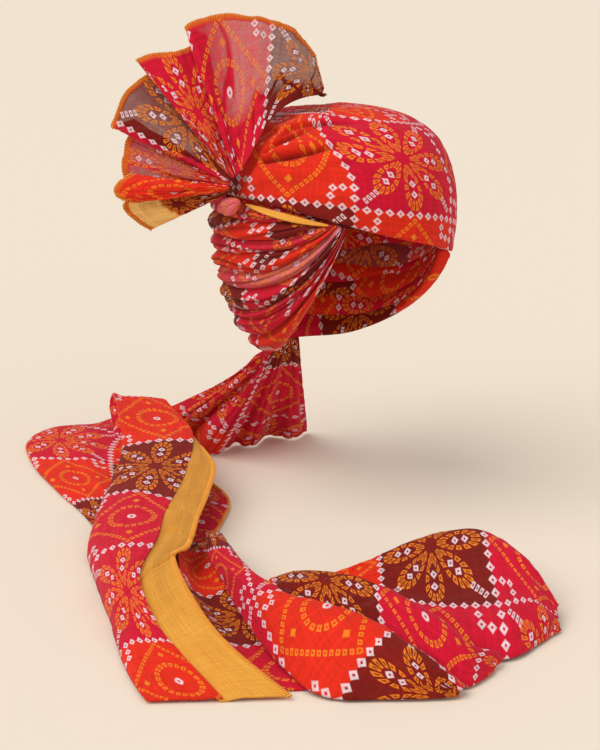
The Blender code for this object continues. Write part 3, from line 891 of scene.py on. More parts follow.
def make_crown():
    even = np.linspace(-math.pi, math.pi, CROWN_AROUND, endpoint=False)[None, :] * np.ones((CROWN_UP + 1, 1))
    turn = even - CROWDING * np.sin(even - SEEN_SIDE)
    share = (shares(CROWN_UP) ** 0.9)[:, None] * np.ones((1, CROWN_AROUND))
    way = crown_ways(turn, share)
    rounding = CROWN_WALL * (0.72 + 0.28 * np.sin(math.pi / 2 * np.minimum(1, share * 6)))
    smooth = on_head(way, HEAD_EASE + rounding)
    front = panel_cover(way, smooth)
    rear = (1 - front) * LAYER_STEP * layer_steps(share, turn) * ramp(share * 5)
    rise = np.linalg.norm(np.diff(smooth, axis=0), axis=2)
    across = np.concatenate((np.zeros((1, CROWN_AROUND)), np.cumsum(rise, axis=0)))
    along = turn * CROWN_RADIUS
    crinkle = ripples.crumple(along / 0.022, across / 0.009) * CRINKLE
    lean = ripples.at(along / 0.05 + across / 0.12, across / 0.016) * LEAN * ramp(across / 0.02)
    calm = ramp((math.pi - np.abs(even)) / SEAM_CALM)
    hem = RIM_HEM * np.exp(-(((across - 0.003) / 0.003) ** 2))
    offset = HEAD_EASE + rounding + PANEL_PROUD * (front - 1) + rear + (crinkle + lean) * calm + hem * front
    drawn = drawn_folds(smooth, way)
    outer = on_head(way, offset - drawn)
    inner = on_head(way, HEAD_EASE + 0 * share)
    inner_tip, tip = (np.broadcast_to(side[-1].mean(axis=0), (1, CROWN_AROUND, 3)) for side in (inner, outer))
    grid = np.concatenate((inner_tip, inner[::-4], outer, tip))
    u, v = crown_print(turn, along, across)
    # Painted shade: the cloth's colour is darkened where the drawn folds cut in, most in the creases.
    painted_crease_shade = np.clip(drawn / SHADED_DEPTH, 0, 1) * CREASE_SHADE
    u, v, painted_crease_shade = (np.concatenate((a[-1:], a[::-4], a, a[-1:])) for a in (u, v, painted_crease_shade))
    mesh = grid_mesh("crown", grid, u, v, {"painted_crease_shade": painted_crease_shade}, ring=True)
    close_up(mesh, close_poles)
    return dress("crown", mesh, "crown_cloth", printed_voile)


crown = make_crown()

# %% [markdown]
# ## The turns round the nape
#
# Nine turns of rolled cloth fan out from each temple, spread over the back of the head, and overlap like
# shingles. Each is a soft roll: round outside, flat against the head, thin where it slips under the crown.
# The rolls aren't stuffed, so long folds run along them and shift from turn to turn.

# %% The lines between turns
TURNS = 9
RIGHT_TEMPLE, LEFT_TEMPLE = math.radians(50), math.radians(-42)
TURN_SWEEP = 4.9
BACK_TOP, BACK_BOTTOM = 0.024, -0.106
RIGHT_TOP, RIGHT_BOTTOM = 0.036, 0.012
LEFT_TOP, LEFT_BOTTOM = 0.012, -0.021
TURN_TUCK, TURN_BULGE, TURN_EMERGE, TURN_END = 0.006, 0.012, 0.010, 0.0012
LEFT_END = 2 * math.pi + LEFT_TEMPLE


def turn_line(line, turn):
    """Height of the border under turn number line, at turns that run right, back and left."""
    share = line / TURNS
    right = turn <= math.pi
    from_right = (turn - RIGHT_TEMPLE) / (math.pi - RIGHT_TEMPLE)
    from_left = (LEFT_END - turn) / (LEFT_END - math.pi)
    run = np.clip(np.where(right, from_right, from_left), 0, 1)
    start = np.where(right, mix(RIGHT_TOP, RIGHT_BOTTOM, share), mix(LEFT_TOP, LEFT_BOTTOM, share))
    return mix(start, mix(BACK_TOP, BACK_BOTTOM, share), 1 - (1 - run) ** TURN_SWEEP)


def turn_swell(below):
    return mix(TURN_TUCK, TURN_BULGE, ramp(below / TURN_EMERGE))


# %% One turn
TURN_LOOKS = (
    # print's start along and across in fields, its slant, how faded, folds' depth in mm and their number
    (0.30, 0.30, 0.10, 0.00, 0.8, 1.2),
    (2.55, 0.10, 0.45, 0.00, 1.9, 1.7),
    (0.15, 0.62, -0.35, 0.10, 2.1, 1.9),
    (3.40, 0.30, 0.50, 0.00, 2.2, 1.6),
    (1.10, 0.12, -0.40, 0.95, 2.0, 1.9),
    (2.20, 0.55, 0.35, 0.00, 2.3, 1.7),
    (0.70, 0.80, -0.30, 0.05, 2.0, 1.8),
    (1.85, 0.95, 0.12, 0.00, 1.2, 1.5),
    (3.10, 0.15, 0.05, 0.00, 1.0, 1.4),
)
TURN_STRAY = 0.34
TUCK = 0.0025
TURN_STATIONS, TURN_POINTS = 300, 22
TURN_RADIUS = 0.086
TURN_CRINKLE = 0.0009


def strayed_line(line, turn):
    """A line between turns with the wandering that cloth wound by hand has, less where the turns crowd."""
    if line in (0, TURNS):
        return turn_line(line, turn)
    crowd = (turn_line(0, turn) - turn_line(TURNS, turn)) / TURNS
    stray = ripples.at(turn * 1.9 + 5 * line, 3.7 * line + 0 * turn)
    return turn_line(line, turn) + TURN_STRAY * crowd * stray


def turn_edges(number):
    """Stations round the head where a turn has some width, the crown's height there, its top and bottom."""
    even = shares(TURN_STATIONS)
    stations = mix(RIGHT_TEMPLE, LEFT_END, mix(even, ramp(even), 0.8))
    ceiling = crown_low(stations) - RIM_GAP
    top = np.minimum(strayed_line(number - 1, stations), ceiling)
    bottom = strayed_line(number, stations)
    kept = top - bottom >= TURN_END
    return (a[kept][:, None] for a in (stations, ceiling, top, bottom))


def make_turn(number):
    stations, ceiling, top, bottom = turn_edges(number)
    begin, begin_across, slant, faded, depth, count = TURN_LOOKS[number - 1]
    part = shares(TURN_POINTS)[None, :]
    turn, width, height = stations + 0 * part, top - bottom, mix(bottom, top, part)
    thickest = TURN_BULGE * (0.86 if number % 2 else 1.0)
    swell = np.minimum(turn_swell(ceiling - height), thickest)
    round_off = 0.42 + 0.58 * np.maximum(np.sin(math.pi * part**0.75), 0) ** 0.8
    around = turn * TURN_RADIUS
    lines = part * count + 0.7 * ripples.at(around / 0.06 + 9.0 * number, 0 * part + number) + around / 0.16
    off = lines - np.floor(lines) - 0.5
    fold = np.exp(-((off / np.where(off > 0, 0.07, 0.26)) ** 2)) * np.sin(math.pi * part) ** 0.7
    room = ramp(width / 0.012)
    crinkle = ripples.crumple(around / 0.030 + 3 * number, height / 0.0065) * TURN_CRINKLE
    folds = (0.001 * depth * fold - crinkle) * room * np.sin(math.pi * part) ** 0.5
    offset = HEAD_EASE + swell * round_off - folds
    outer = at_height(turn, height, np.maximum(offset, 2 * HEAD_EASE))
    tucked = at_height(stations, np.minimum(top + TUCK * room, ceiling), HEAD_EASE + 0.002)
    level = np.array((1.0, 0.5, 0.0))
    inner = at_height(turn[:, :3], mix(bottom, top, level), HEAD_EASE)
    grid = np.concatenate((outer, tucked, inner), axis=1)
    across = (part - 0.5) * width * 1.3 + begin_across * FIELD + slant * around
    last = across[:, -1:]
    v = np.concatenate((across, last + TUCK, last - (1 - level) * width), axis=1)
    u = np.broadcast_to(around[:, :1] + begin * FIELD, v.shape)
    shade = faded * np.exp(-(((turn - 1.25) / 0.42) ** 2)) + 0.25 * faded
    # Painted shade: the colour is darkened along the roll's fold valleys. The tucked and inner points get
    # none.
    painted_crease_shade = np.concatenate((0.5 * fold * room, np.zeros((len(fold), grid.shape[1] - fold.shape[1]))), axis=1)
    return roll(f"turn_{number}", grid, u, v, {"faded": shade[:, :1], "painted_crease_shade": painted_crease_shade}, "turn_cloth")


turns = [make_turn(number) for number in range(1, TURNS + 1)]

# %% [markdown]
# ## The golden sliver and the knot
#
# The gold border of a lower layer peeps out under the crown on the wearer's right. The knot is the last
# end, twisted on itself and tucked in, so the grooves wind round it.

# %% The golden sliver
STRIP_WIDTH = 0.0035
STRIP_FROM, STRIP_TO = math.radians(58), math.radians(100)


def make_edge_strip():
    share, part = shares(120)[:, None], shares(6)[None, :]
    turn = mix(STRIP_FROM, STRIP_TO, share) + 0 * part
    width = THIN_CLOTH + STRIP_WIDTH * np.sin(math.pi * share) ** 0.8
    below = GAP + THIN_CLOTH + width * part
    offset = HEAD_EASE + turn_swell(below) + GAP + THIN_CLOTH
    grid = at_height(turn, crown_low(turn) - below, offset)
    return cloth("edge_strip", grid, gold_cloth, "gold_cloth", THIN_CLOTH)


# %% The knot
KNOT_GROOVES, KNOT_GROOVE_DEPTH = 3, 0.00075


def make_knot():
    outside = unit(np.array((knot_place[0], knot_place[1], 0)))
    centre = knot_place + np.array((0, 0, -KNOT_HEIGHT * 0.2)) + outside * (TURN_BULGE - CROWN_WALL + GAP)
    along = unit(np.array((outside[1], -outside[0], -0.35)))
    side = unit(np.cross(along, outside))
    run = mix(0.03, 0.97, shares(70))[:, None]
    angle = np.linspace(0, 2 * math.pi, 72, endpoint=False)[None, :]
    girth = np.sin(math.pi * run) ** 0.55
    wind = (0.5 + 0.5 * np.cos(KNOT_GROOVES * angle + 4 * run)) ** 3
    fine = (0.5 + 0.5 * np.cos(11 * angle + 9 * run + 2 * ripples.at(run * 4, angle))) ** 2
    groove = 1 - (2.0 * KNOT_GROOVE_DEPTH * wind + 0.0005 * fine) / (KNOT_DEPTH / 2)
    depth = (KNOT_DEPTH / 2 * girth * groove * np.cos(angle))[..., None]
    height = (KNOT_HEIGHT / 2 * girth * groove * np.sin(angle))[..., None]
    grid = centre + along * (KNOT_LENGTH * (run - 0.5))[..., None] + outside * depth + side * height
    u = 0.05 + KNOT_LENGTH * run + 0 * angle
    v = 0.02 + angle * KNOT_HEIGHT / 2 + 0 * run
    faded = np.clip(0.75 + 0.3 * ripples.at(run * 5, angle * 1.5), 0, 0.95)
    return roll("knot", grid, u, v, {"faded": faded}, "knot_cloth")


edge_strip = make_edge_strip()
knot = make_knot()

# %% [markdown]
# ## The fan
#
# The starched end of the strip is pleated, gathered at the knot and spread like a cockade. It turns back on
# itself in lobes, and where only one layer stands the light comes through. The table holds the outline of
# each fold. Between them, fine pleats run from the gather to the edge and open as they go.

# %% The fan's folds
SEAM_MIDDLE, SEAM_TOP = np.array((-0.92, 0.00, 0.77)), np.array((-0.05, 0.12, 1.00))
FAN_TURN = math.radians(101)
FAN_REACH, FAN_DEPTH, FAN_ROOT, FAN_GATHER = 0.128, 0.060, 0.008, 0.011
FAN_BILLOW, FAN_STANDOFF = 0.004, 0.0025
FAN_FOLDS = (
    # angle in degrees, reach in percent of FAN_REACH, depth in percent of FAN_DEPTH
    (43, 70, 112),
    (54, 82, 107),
    (65, 93, 102),
    (78, 99, 95),
    (95, 100, 78),
    (110.5, 99, 60),
    (104, 88, 82),
    (117, 88, 67),
    (131, 97, 45),
    (126, 86, 64),
    (143, 88, 50),
    (157.5, 86, 31),
    (151, 75, 52),
    (165, 75, 43),
    (180, 72, 35),
    (175, 68, 17),
    (182.5, 79, 4),
    (190, 69, 6),
    (187, 69, 22),
    (193, 75, 29),
    (208.5, 66, 24),
)


def seam_point(lift):
    """Where the fan leaves the crown: by the knot at 0, on top of the crown at 1."""
    foot = unit(at_height(FAN_TURN, crown_low(FAN_TURN) + KNOT_HEIGHT / 2, HEAD_EASE))
    lift = np.asarray(lift)[..., None]
    way = foot * (1 - lift) ** 2 + SEAM_MIDDLE * (2 * lift * (1 - lift)) + SEAM_TOP * lift**2
    return on_head(unit(way), HEAD_EASE + CROWN_WALL + FAN_STANDOFF)


def fan_point(place, reach):
    """Points of the fan at places across its folds and reaches from its base, both from 0 to 1."""
    angle, length, depth = (spline(FAN_FOLDS, place)[..., i] for i in range(3))
    level = np.cos(np.radians(angle))[..., None] * RIGHTWARD + np.sin(np.radians(angle))[..., None] * UPWARD
    out, back = (length / 100 * FAN_REACH)[..., None], (depth / 100 * FAN_DEPTH)[..., None]
    tip = seam_point(0) + level * out + AWAY * back
    nearer = (FAN_FOLDS[0][2] - depth) / 100
    start = seam_point(ramp((108 - angle) / 62)) + level * FAN_ROOT - AWAY * (nearer * FAN_GATHER)[..., None]
    billow = AWAY * (-FAN_BILLOW * np.sin(math.pi * reach))[..., None]
    return mix(start, tip, reach[..., None]) + billow


# %% The fan's print and its single layers
# what is added to a field's kind, for each field of print round the fan
FIELD_SHIFTS = (0, 0, 0, 3, 2, 2, 2)
SLIPS = (
    # fold, how many fields the print has slipped there, inside the folds that don't show
    (8, 0),
    (9, -0.30),
    (11, -0.30),
    (12, -0.15),
    (14, -0.15),
    (15, -0.38),
    (17, -0.38),
    (18, -0.86),
)
SINGLE = (
    # fold, how much of it is one layer that light comes through
    (4, 1.0),
    (5, 0.55),
    (6, 0.25),
    (8, 0.40),
    (9, 0.60),
    (10, 0.95),
    (12, 0.85),
    (14, 0.90),
    (15, 0.20),
    (17, 0.15),
    (18, 0.60),
)


def by_row(table, row):
    """The second column of a table whose first column is a row or fold number, read at any row."""
    return np.interp(row, *zip(*table))


# %% The fan's mesh
FAN_WALL = 0.0003
PLEAT_DEPTH = 0.0030
FAN_HEM = 0.0046
END_FROM, END_WIDTH = 0.93, 0.033


def fan_creases(place, reach):
    """Lines that run out from the gather: 1 on a crease, 0 off it."""
    wander = ripples.at(place * 26 + 3, reach * 1.3) + 0.35 * ripples.at(place * 70, reach * 2.5)
    return np.exp(-((wander / 0.085) ** 2)) * (1 - 0.75 * ramp((reach - 0.35) / 0.6))


def fan_grid(place, reach):
    """The fan's points, moved by pleats, wide waves, crinkles and creases."""
    grid = fan_point(place, reach * (1 + 0.014 * ripples.at(place * 40, 0 * place) * reach**6))
    pleat = 0.5 - np.abs(ripples.at(place * 84, reach * 1.4))
    wide = 0.9 * ripples.at(place * 30 + 9, reach * 1.2 + 4)
    crinkle = ripples.crumple(place * 55 + 17, reach * 7) * 0.62 * ramp(reach / 0.25)
    rise = ramp(reach / 0.16) * (1 - 0.45 * reach)
    folds = (pleat + wide + crinkle + 0.8 * fan_creases(place, reach)) * PLEAT_DEPTH * rise
    return grid + outward(grid) * folds[..., None]


def fan_shades(place, reach, edge):
    """Where the fan is one layer thin, hemmed or golden. Edge is the distance from its outer edge."""
    on_end = ramp((place - END_FROM) / 0.004)
    seam = np.exp(-(((edge - END_WIDTH - 0.001) / 0.0012) ** 2)) * on_end
    golden = on_end * ramp((edge - FAN_HEM) / 0.001) * ramp((END_WIDTH - edge) / 0.0008)
    hem = 0.8 * np.maximum(ramp((FAN_HEM - edge) / 0.0008 + 0.5), seam)
    thin = by_row(SINGLE, place * (len(FAN_FOLDS) - 1)) * (1 - 0.85 * fan_creases(place, reach))
    thin = thin * (0.15 + 0.85 * ramp(reach / 0.42)) * (1 - 0.6 * seam)
    return {"thin": thin * (1 - ramp((FAN_HEM - edge) / 0.0006 + 0.5)), "hem": hem, "golden": golden}


def make_fan():
    place, reach = np.meshgrid(shares(560), shares(44), indexing="ij")
    grid = fan_grid(place, reach)
    run, out = lengths(grid[:, -6:], 0)[:, :1], lengths(grid, 1)
    folds = len(FAN_FOLDS) - 1
    maroon_end = run[int(len(run) * 3 / folds), 0]
    along = maroon_end - run + 3 * FIELD + by_row(SLIPS, place * folds) * FIELD
    across = 0.86 * (out - out.max()) + 0.97 * FIELD
    field = np.clip(3 - np.floor(along / FIELD), 0, len(FIELD_SHIFTS) - 1).astype(int)
    edge = (1 - reach) * np.linalg.norm(grid[:, -1] - grid[:, 0], axis=-1)[:, None]
    shades = {**fan_shades(place, reach, edge), "shift": np.take(FIELD_SHIFTS, field)}
    stretches["fan"] = grid
    return dress("fan", grid_mesh("fan", grid, along, across, shades), "fan_cloth", sheer_voile, FAN_WALL)


fan = make_fan()
pleats = stretches["fan"]
fan_overlock = overlock("fan_overlock", pleats[:, -1], pleats[:, -3], 0.0020, 0.0013, 0.0007, 0.00034)

# %% [markdown]
# ## The loose end
#
# From the nape the strip falls to the floor, folds over on itself and runs away to the viewer's right. The
# tables give its folds as places on the floor, in percent of how far it spreads, and heights in percent of
# the pile's height.

# %% Places on the floor
LAY_TURN = VIEW_TURN
LAY_SPAN, PILE_HEIGHT = 0.500, 0.040
NECK_SET_BACK = 0.011
DROP_SAG = 0.010
BORDER_FIRST_ROW, BORDER_GAP = 4, 0.0032


def lay(right, away, height):
    """Points of the loose end, from percents of LAY_SPAN and PILE_HEIGHT."""
    right, away, height = np.broadcast_arrays(right, away, height)
    right, away = right / 100 * LAY_SPAN, away / 100 * LAY_SPAN
    x = right * math.cos(LAY_TURN) - away * math.sin(LAY_TURN)
    y = NECK_SET_BACK + right * math.sin(LAY_TURN) + away * math.cos(LAY_TURN)
    return np.stack((x, y, height / 100 * PILE_HEIGHT - BROW_HEIGHT), axis=-1)


def skin(table, count, section, points, first_row=0):
    """A grid: section turns each smoothed row of a table, from its first row on, into points across."""
    begin = first_row / (len(table) - 1)
    rows = spline(table, mix(begin, 1, shares(count)))
    return section(*(column[:, None] for column in rows.T), shares(points)[None, :])


def sink(grid, floor=0.0012):
    """Keeps a folded grid above the floor."""
    grid[..., 2] = np.maximum(grid[..., 2], floor - BROW_HEIGHT)
    return grid


# %% The stretch that hangs from the nape
DROP_FOLDS = (
    # share of the nape arc, foot_right, foot_away, foot_height
    (0.00, -31.6, 33, 28),
    (0.13, -28.5, 26.5, 10),
    (0.26, -24.0, 24, 6),
    (0.38, -21.5, 16.5, 6),
    (0.50, -18.0, 16.5, 6),
    (0.61, -15.5, 21.5, 6),
    (0.72, -12.0, 20.5, 6),
    (0.83, -9.5, 26.5, 6),
    (0.92, -5.0, 24.5, 6),
    (1.00, -2.0, 29, 6),
)


DROP_FROM, DROP_TO = math.radians(146), math.radians(206)
DROP_FOLD, DROP_CRINKLE = 0.0045, 0.0010


def make_drop():
    arc, right, away, height = spline(DROP_FOLDS, shares(190)).T[:, :, None]
    share = shares(64)[None, :]
    turn = mix(DROP_FROM, DROP_TO, arc)
    start = at_height(turn, turn_line(TURNS, turn) - GAP - CLOTH, HEAD_EASE + TURN_BULGE * 0.4)
    grid = mix(start, lay(right, away, height), share[..., None])
    grid[..., 2] -= DROP_SAG * np.sin(math.pi * share) * (1 - share)
    place = arc + 0 * share
    folds = DROP_FOLD * (0.5 - np.abs(ripples.at(place * 21, share * 1.3))) * ramp(share / 0.1)
    folds = folds + DROP_CRINKLE * ripples.crumple(place * 16, share * 11) * ramp(share / 0.2)
    thin = ramp((0.22 - place) / 0.06) * ramp((share - 0.3) / 0.2) * 0.5
    start_of_print = (2.3 * FIELD, 0.6 * FIELD)
    return cloth("tail_drop", grid, sheer_voile, start=start_of_print, folds=folds, shades={"thin": thin})


# %% Lobe and front fold
LOBE_ROWS = (
    # edge_right, edge_away, inner_right, inner_away, inner_height
    (-38.9, 38.5, -31, 22, 30),
    (-43.8, 32.2, -31, 16, 40),
    (-50.9, 30.4, -31, 11, 44),
    (-54.2, 22.9, -31, 5, 44),
    (-51.5, 11.8, -31, -1, 40),
    (-45.7, -1.3, -31, -8, 32),
    (-39.8, -12.6, -31, -15, 20),
    (-36.2, -21, -31, -22, 8),
)

FRONT_ROWS = (
    # left_right, left_away, left_height, seam_right, seam_away, seam_height, edge_right, ..._away, ..._height
    (-38, 21.1, 66, -30, 18, 62, -29, 18, 62),
    (-39, 26, 88, -30.5, 24, 84, -29, 23, 80),
    (-38, 24.5, 116, -28.5, 20, 118, -27, 19, 112),
    (-36, 13.7, 108, -24.6, 9.9, 116, -23.4, 8.9, 110),
    (-34.2, 4.1, 84, -21.9, 1.6, 110, -21, 0.6, 98),
    (-34.4, -4.5, 66, -21.7, -11.5, 104, -17.8, -8.3, 84),
    (-35.2, -12.9, 48, -22.8, -24.3, 102, -18.2, -19.1, 76),
    (-36.4, -24.2, 12, -24, -32.1, 98, -19.1, -28.8, 72),
    (-35.4, -35.8, 6, -24.3, -41.8, 94, -19.8, -39.8, 68),
    (-32.3, -48, 5, -25.8, -54.2, 84, -21.7, -46.2, 80),
    (-28.8, -60, 5, -22.6, -65.5, 62, -18.1, -59.6, 70),
    (-25.7, -70.8, 5, -18.5, -72.3, 38, -12.5, -70.8, 50),
    (-22.8, -79.4, 5, -13.2, -78.9, 6.5, -4.5, -78.4, 9),
)


def lobe_section(edge_right, edge_away, inner_right, inner_away, inner_height, share):
    rise = np.sin(math.pi / 2 * share) ** 0.55
    height = np.maximum(3, inner_height * rise + 3)
    return lay(mix(edge_right, inner_right, share), mix(edge_away, inner_away, share), height)


def front_section(left_right, left_away, left_height, seam_right, seam_away, seam_height, *edge_and_share):
    share = edge_and_share[-1]
    rise = np.sin(math.pi / 2 * share) ** 0.5
    out = 0.10 * np.sin(math.pi * share) * (seam_right - left_right)
    right = mix(left_right, seam_right, share) - out * (1 - share)
    return lay(right, mix(left_away, seam_away, share), mix(left_height, seam_height, rise))


def border_section(*row):
    seam, edge, share = lay(*row[3:6]), lay(*row[6:9]), row[9][..., None]
    return mix(seam, edge, share) + unit(edge - seam) * BORDER_GAP * (1 - share)


# %% The folds towards the viewer's right
FLAP_ROWS = (
    # inner_right, inner_away, tip_right, tip_away, tip_height
    (-23, 3, -20, 1, 12),
    (-23, -4, -15.4, -8, 9),
    (-23, -14, -16, -18, 9),
    (-23, -24, -18, -27, 10),
    (-23, -32, -21, -33, 14),
)

INNER_ROWS = (
    # under_right, under_away, under_height, dip_right, dip_away, out_right, out_away, out_height
    (-22, -38, 40, -19.6, -38, -17, -37, 22),
    (-20.5, -50, 40, -16.5, -50, -13, -49, 22),
    (-17.2, -61.5, 32, -12.6, -61.5, -8.8, -60.5, 18),
    (-12.5, -70.5, 18, -8.6, -70.5, -4.5, -69, 12),
    (-8.6, -76, 7, -4.6, -76, 0, -75.6, 6),
)

NEAR_ROWS = (
    # foot_right, foot_away, foot_height, crest_right, crest_away, crest_height
    (-18, -32, 40, -16.5, -33, 56),
    (-15.3, -45, 40, -12, -48, 74),
    (-11.1, -60, 34, -6, -61.5, 90),
    (-6.4, -71, 20, -0.5, -66, 100),
    (-0.5, -78, 6, 5.5, -70.5, 95),
    (7.8, -79, 6, 10.5, -75.2, 75),
    (13.5, -78.8, 6, 14.6, -77.4, 40),
    (16.7, -78.3, 6, 16.9, -77.9, 14),
)

MIDDLE_ROWS = (
    # foot_right, foot_away, foot_height, crest_right, crest_away, crest_height
    (-8, -53.5, 50, -7.5, -51.5, 66),
    (-4, -59.5, 56, -4, -52.5, 84),
    (1.5, -63.5, 60, 0.8, -54.9, 90),
    (7.5, -67.5, 56, 6.9, -60, 95),
    (12, -72, 44, 11.2, -64.5, 90),
    (15.3, -74.6, 20, 15.2, -69, 80),
    (17.8, -75.4, 6, 18.7, -71.6, 50),
    (19.6, -74, 6, 21.5, -70.3, 30),
    (21.8, -71.5, 6, 22.6, -70, 12),
)

FAR_ROWS = (
    # right, back, crest_back, crest_height, dip, dip_height, front_crest, front_height, front
    (-8, -44.5, -45.5, 18, -46.5, 14, -47.5, 10, -48.5),
    (-3, -44.5, -46.5, 30, -48, 24, -49.3, 16, -50.3),
    (4, -45, -47.3, 66, -50, 40, -52.5, 22, -54.5),
    (11, -40.5, -42.8, 76, -50, 44, -56, 28, -60),
    (18, -36.5, -38.8, 83, -50, 46, -60, 32, -66),
    (24, -35.5, -38.3, 84, -50, 60, -63, 42, -67.5),
    (29, -42, -45.5, 74, -53, 60, -60, 42, -62.5),
    (32.5, -51.5, -54, 24, -56, 26, -57.5, 20, -58.5),
)


def flap_section(inner_right, inner_away, tip_right, tip_away, tip_height, share):
    right, away = mix(inner_right, tip_right, share), mix(inner_away, tip_away, share)
    return lay(right, away, mix(6, tip_height, share))


def through(points, share):
    """Each row's smooth curve through a few points across, sampled at shares."""
    knots = np.stack([np.concatenate(np.broadcast_arrays(*point), axis=1) for point in points])
    made = spline(knots.reshape(len(points), -1), share[0])
    return made.reshape(len(share[0]), -1, len(points[0])).transpose(2, 1, 0)


def inner_section(*row):
    """From under the border down into the hollow, and up to the outer edge."""
    under, (dip_right, dip_away), out, share = row[:3], row[3:5], row[5:8], row[8]
    return lay(*through([under, (dip_right, dip_away, 5 + 0 * dip_away), out], share))


def fold_section(foot_right, foot_away, foot_height, crest_right, crest_away, crest_height, share):
    """A face that climbs from its foot to a crest and rolls over it, down towards the back."""
    climb = np.clip(share / 0.82, 0, 1)
    over = np.clip((share - 0.82) / 0.18, 0, 1)
    rise = np.sin(math.pi / 2 * climb) ** 0.8
    right = mix(foot_right, crest_right, climb) + 0.8 * over
    away = mix(foot_away, crest_away, climb) + 1.6 * over
    return lay(right, away, mix(foot_height, crest_height, rise) - 0.2 * crest_height * over**1.6)


def far_section(right, back, crest_back, crest_height, dip, dip_height, *front_and_share):
    front_crest, front_height, front, share = front_and_share
    points = [
        (back, 4 + 0 * back),
        (mix(back, crest_back, 0.35), crest_height * 0.75),
        (crest_back, crest_height),
        (dip, dip_height),
        (front_crest, front_height),
        (front, 4 + 0 * front),
    ]
    return lay(right, *through(points, share))


# %% Small folds of a stretch that lies
FOLD_SIZE = 0.02


def lying_folds(grid, seed, drag, crinkle):
    """Soft drag folds and fine crinkles, in metres, over a grid's own lengths."""
    noise = Ripples(seed)
    along, across = lengths(grid, 0), lengths(grid, 1)
    sway = 0.8 * noise.at(across / 0.05, along / 0.09)
    soft = noise.at(along / (3.2 * FOLD_SIZE) + sway, across / (0.9 * FOLD_SIZE))
    sharp = noise.crumple(along / (1.6 * FOLD_SIZE), across / (0.55 * FOLD_SIZE))
    bend = 1.2 * noise.at(along / 0.06, across / 0.06)
    long = 0.5 - np.abs(noise.at(along / 0.11 + 5, across / 0.013 + bend))
    return drag * soft + crinkle * (sharp + 0.8 * long)


def lying(name, grid, material, start, seed, drag=0.0016, crinkle=0.0009, dents=0, **looks):
    """A stretch on the floor. Start is the print's place in fields, and dents are deeper folds in metres."""
    folds = lying_folds(grid, seed, drag, crinkle) - dents
    start = (start[0] * FIELD, start[1] * FIELD)
    return cloth(name, sink(grid), material, start=start, folds=folds, **looks)


def row_place(table, row):
    return row / (len(table) - 1)


def run_at(grid, place):
    """The length along a grid up to a place from 0 to 1."""
    run = lengths(grid, 0)[:, 0]
    return float(np.interp(place, np.linspace(0, 1, len(run)), run))


# %% Lobe, front fold and border
lobe_grid = skin(LOBE_ROWS, 130, lobe_section, 76)
lobe_boundary = run_at(lobe_grid, row_place(LOBE_ROWS, 4))
tail_lobe = lying("tail_lobe", lobe_grid, printed_voile, (1 + lobe_boundary / FIELD, 0.14), 3, ways=(-1, 1))

UNDER_FRONT = (
    # as FRONT_ROWS: the same cloth on its way down to the lobe below
    (-37.2, 13, 34, -30, 12, 36, -29, 12, 36),
    (-37.6, 18.5, 38, -30, 15.5, 40, -29, 15.5, 40),
)
FRONT_PRINT = (
    # row of the front fold, place along the print in fields
    (-2, 2.4),
    (2.0, 1),
    (4.3, 0),
    (6.4, -1),
    (8.3, -2),
    (10.6, -3),
    (12, -3.75),
)
front_grid = skin((*UNDER_FRONT, *FRONT_ROWS), 330, front_section, 78)


def front_print(along, across):
    """The print set by rows of the front fold, because the cloth is dragged a little on the way."""
    row = np.linspace(-len(UNDER_FRONT), len(FRONT_ROWS) - 1, len(along))
    place = by_row(FRONT_PRINT, row) * FIELD
    return np.broadcast_to(place[:, None], along.shape), across


tail_front = lying("tail_front", front_grid, printed_voile, (0, 0.07), 5, drag=0.0015, printed=front_print)

# %% The border
BORDER_CREASES = (
    # row of the front fold where a crease crosses the border, how it slants, depth in mm
    (6.9, 0.30, 1.0),
    (7.75, 0.10, 1.2),
    (9.0, 0.00, 1.6),
    (10.6, 0.45, 0.6),
)
BORDER_UNDER, BORDER_LOWER = 0.0050, 0.0019


def make_border():
    """The border starts under the front fold's edge, so that no gap shows."""
    grid = skin(FRONT_ROWS, 250, border_section, 34, BORDER_FIRST_ROW)
    place = mix(BORDER_FIRST_ROW, len(FRONT_ROWS) - 1, shares(250))[:, None]
    share = shares(34)[None, :]
    under = 1 - ramp(share / 0.3)
    grid -= unit(grid[:, -1:] - grid[:, :1]) * (BORDER_UNDER * under)[..., None]
    grid[..., 2] -= BORDER_LOWER * under
    dents = sum(0.001 * depth * np.exp(-(((place - row - slant * (share - 0.5)) / 0.07) ** 2))
                for row, slant, depth in BORDER_CREASES)
    return lying("gold_border", grid, gold_cloth, (0, 0), 7, 0.0009, 0.0005, dents, slot="gold_cloth")


gold_border = make_border()

# %% Flap and inner strip
flap_grid = skin(FLAP_ROWS, 80, flap_section, 46)
tail_flap = lying("tail_flap", flap_grid, sheer_voile, (1.3, 0.3), 9, shades={"thin": 0.35})
UNDER_FLAP = (
    # as INNER_ROWS: the same cloth on its way under the flap
    (-22.5, -25.5, 20, -20.5, -26, -17.6, -26.5, 8),
    (-22, -31, 26, -19.8, -31.5, -16.4, -32.5, 15),
)
inner_grid = skin((*UNDER_FLAP, *INNER_ROWS), 190, inner_section, 56)
tail_inner = lying("tail_inner", inner_grid, printed_voile, (1.25, 0.1), 13, ways=(-1, 1))

# %% Near, middle and far fold
NEAR_TWIST = math.radians(16.5)
NEAR_CORNER_ALONG, NEAR_CORNER_ACROSS = 0.236, 0.0575
NEAR_STRETCH_ALONG, NEAR_STRETCH_ACROSS = 0.85, 1.4
MAROON_ROW, LAST_ROW = 3, 2.6


def near_print(along, across):
    """The cloth runs slantwise through the near fold, and more of it is gathered across than shows."""
    turned = along * math.cos(NEAR_TWIST) - across * math.sin(NEAR_TWIST)
    risen = along * math.sin(NEAR_TWIST) + across * math.cos(NEAR_TWIST)
    along, across = turned - NEAR_CORNER_ALONG, risen - NEAR_CORNER_ACROSS
    return NEAR_STRETCH_ALONG * along, NEAR_STRETCH_ACROSS * across


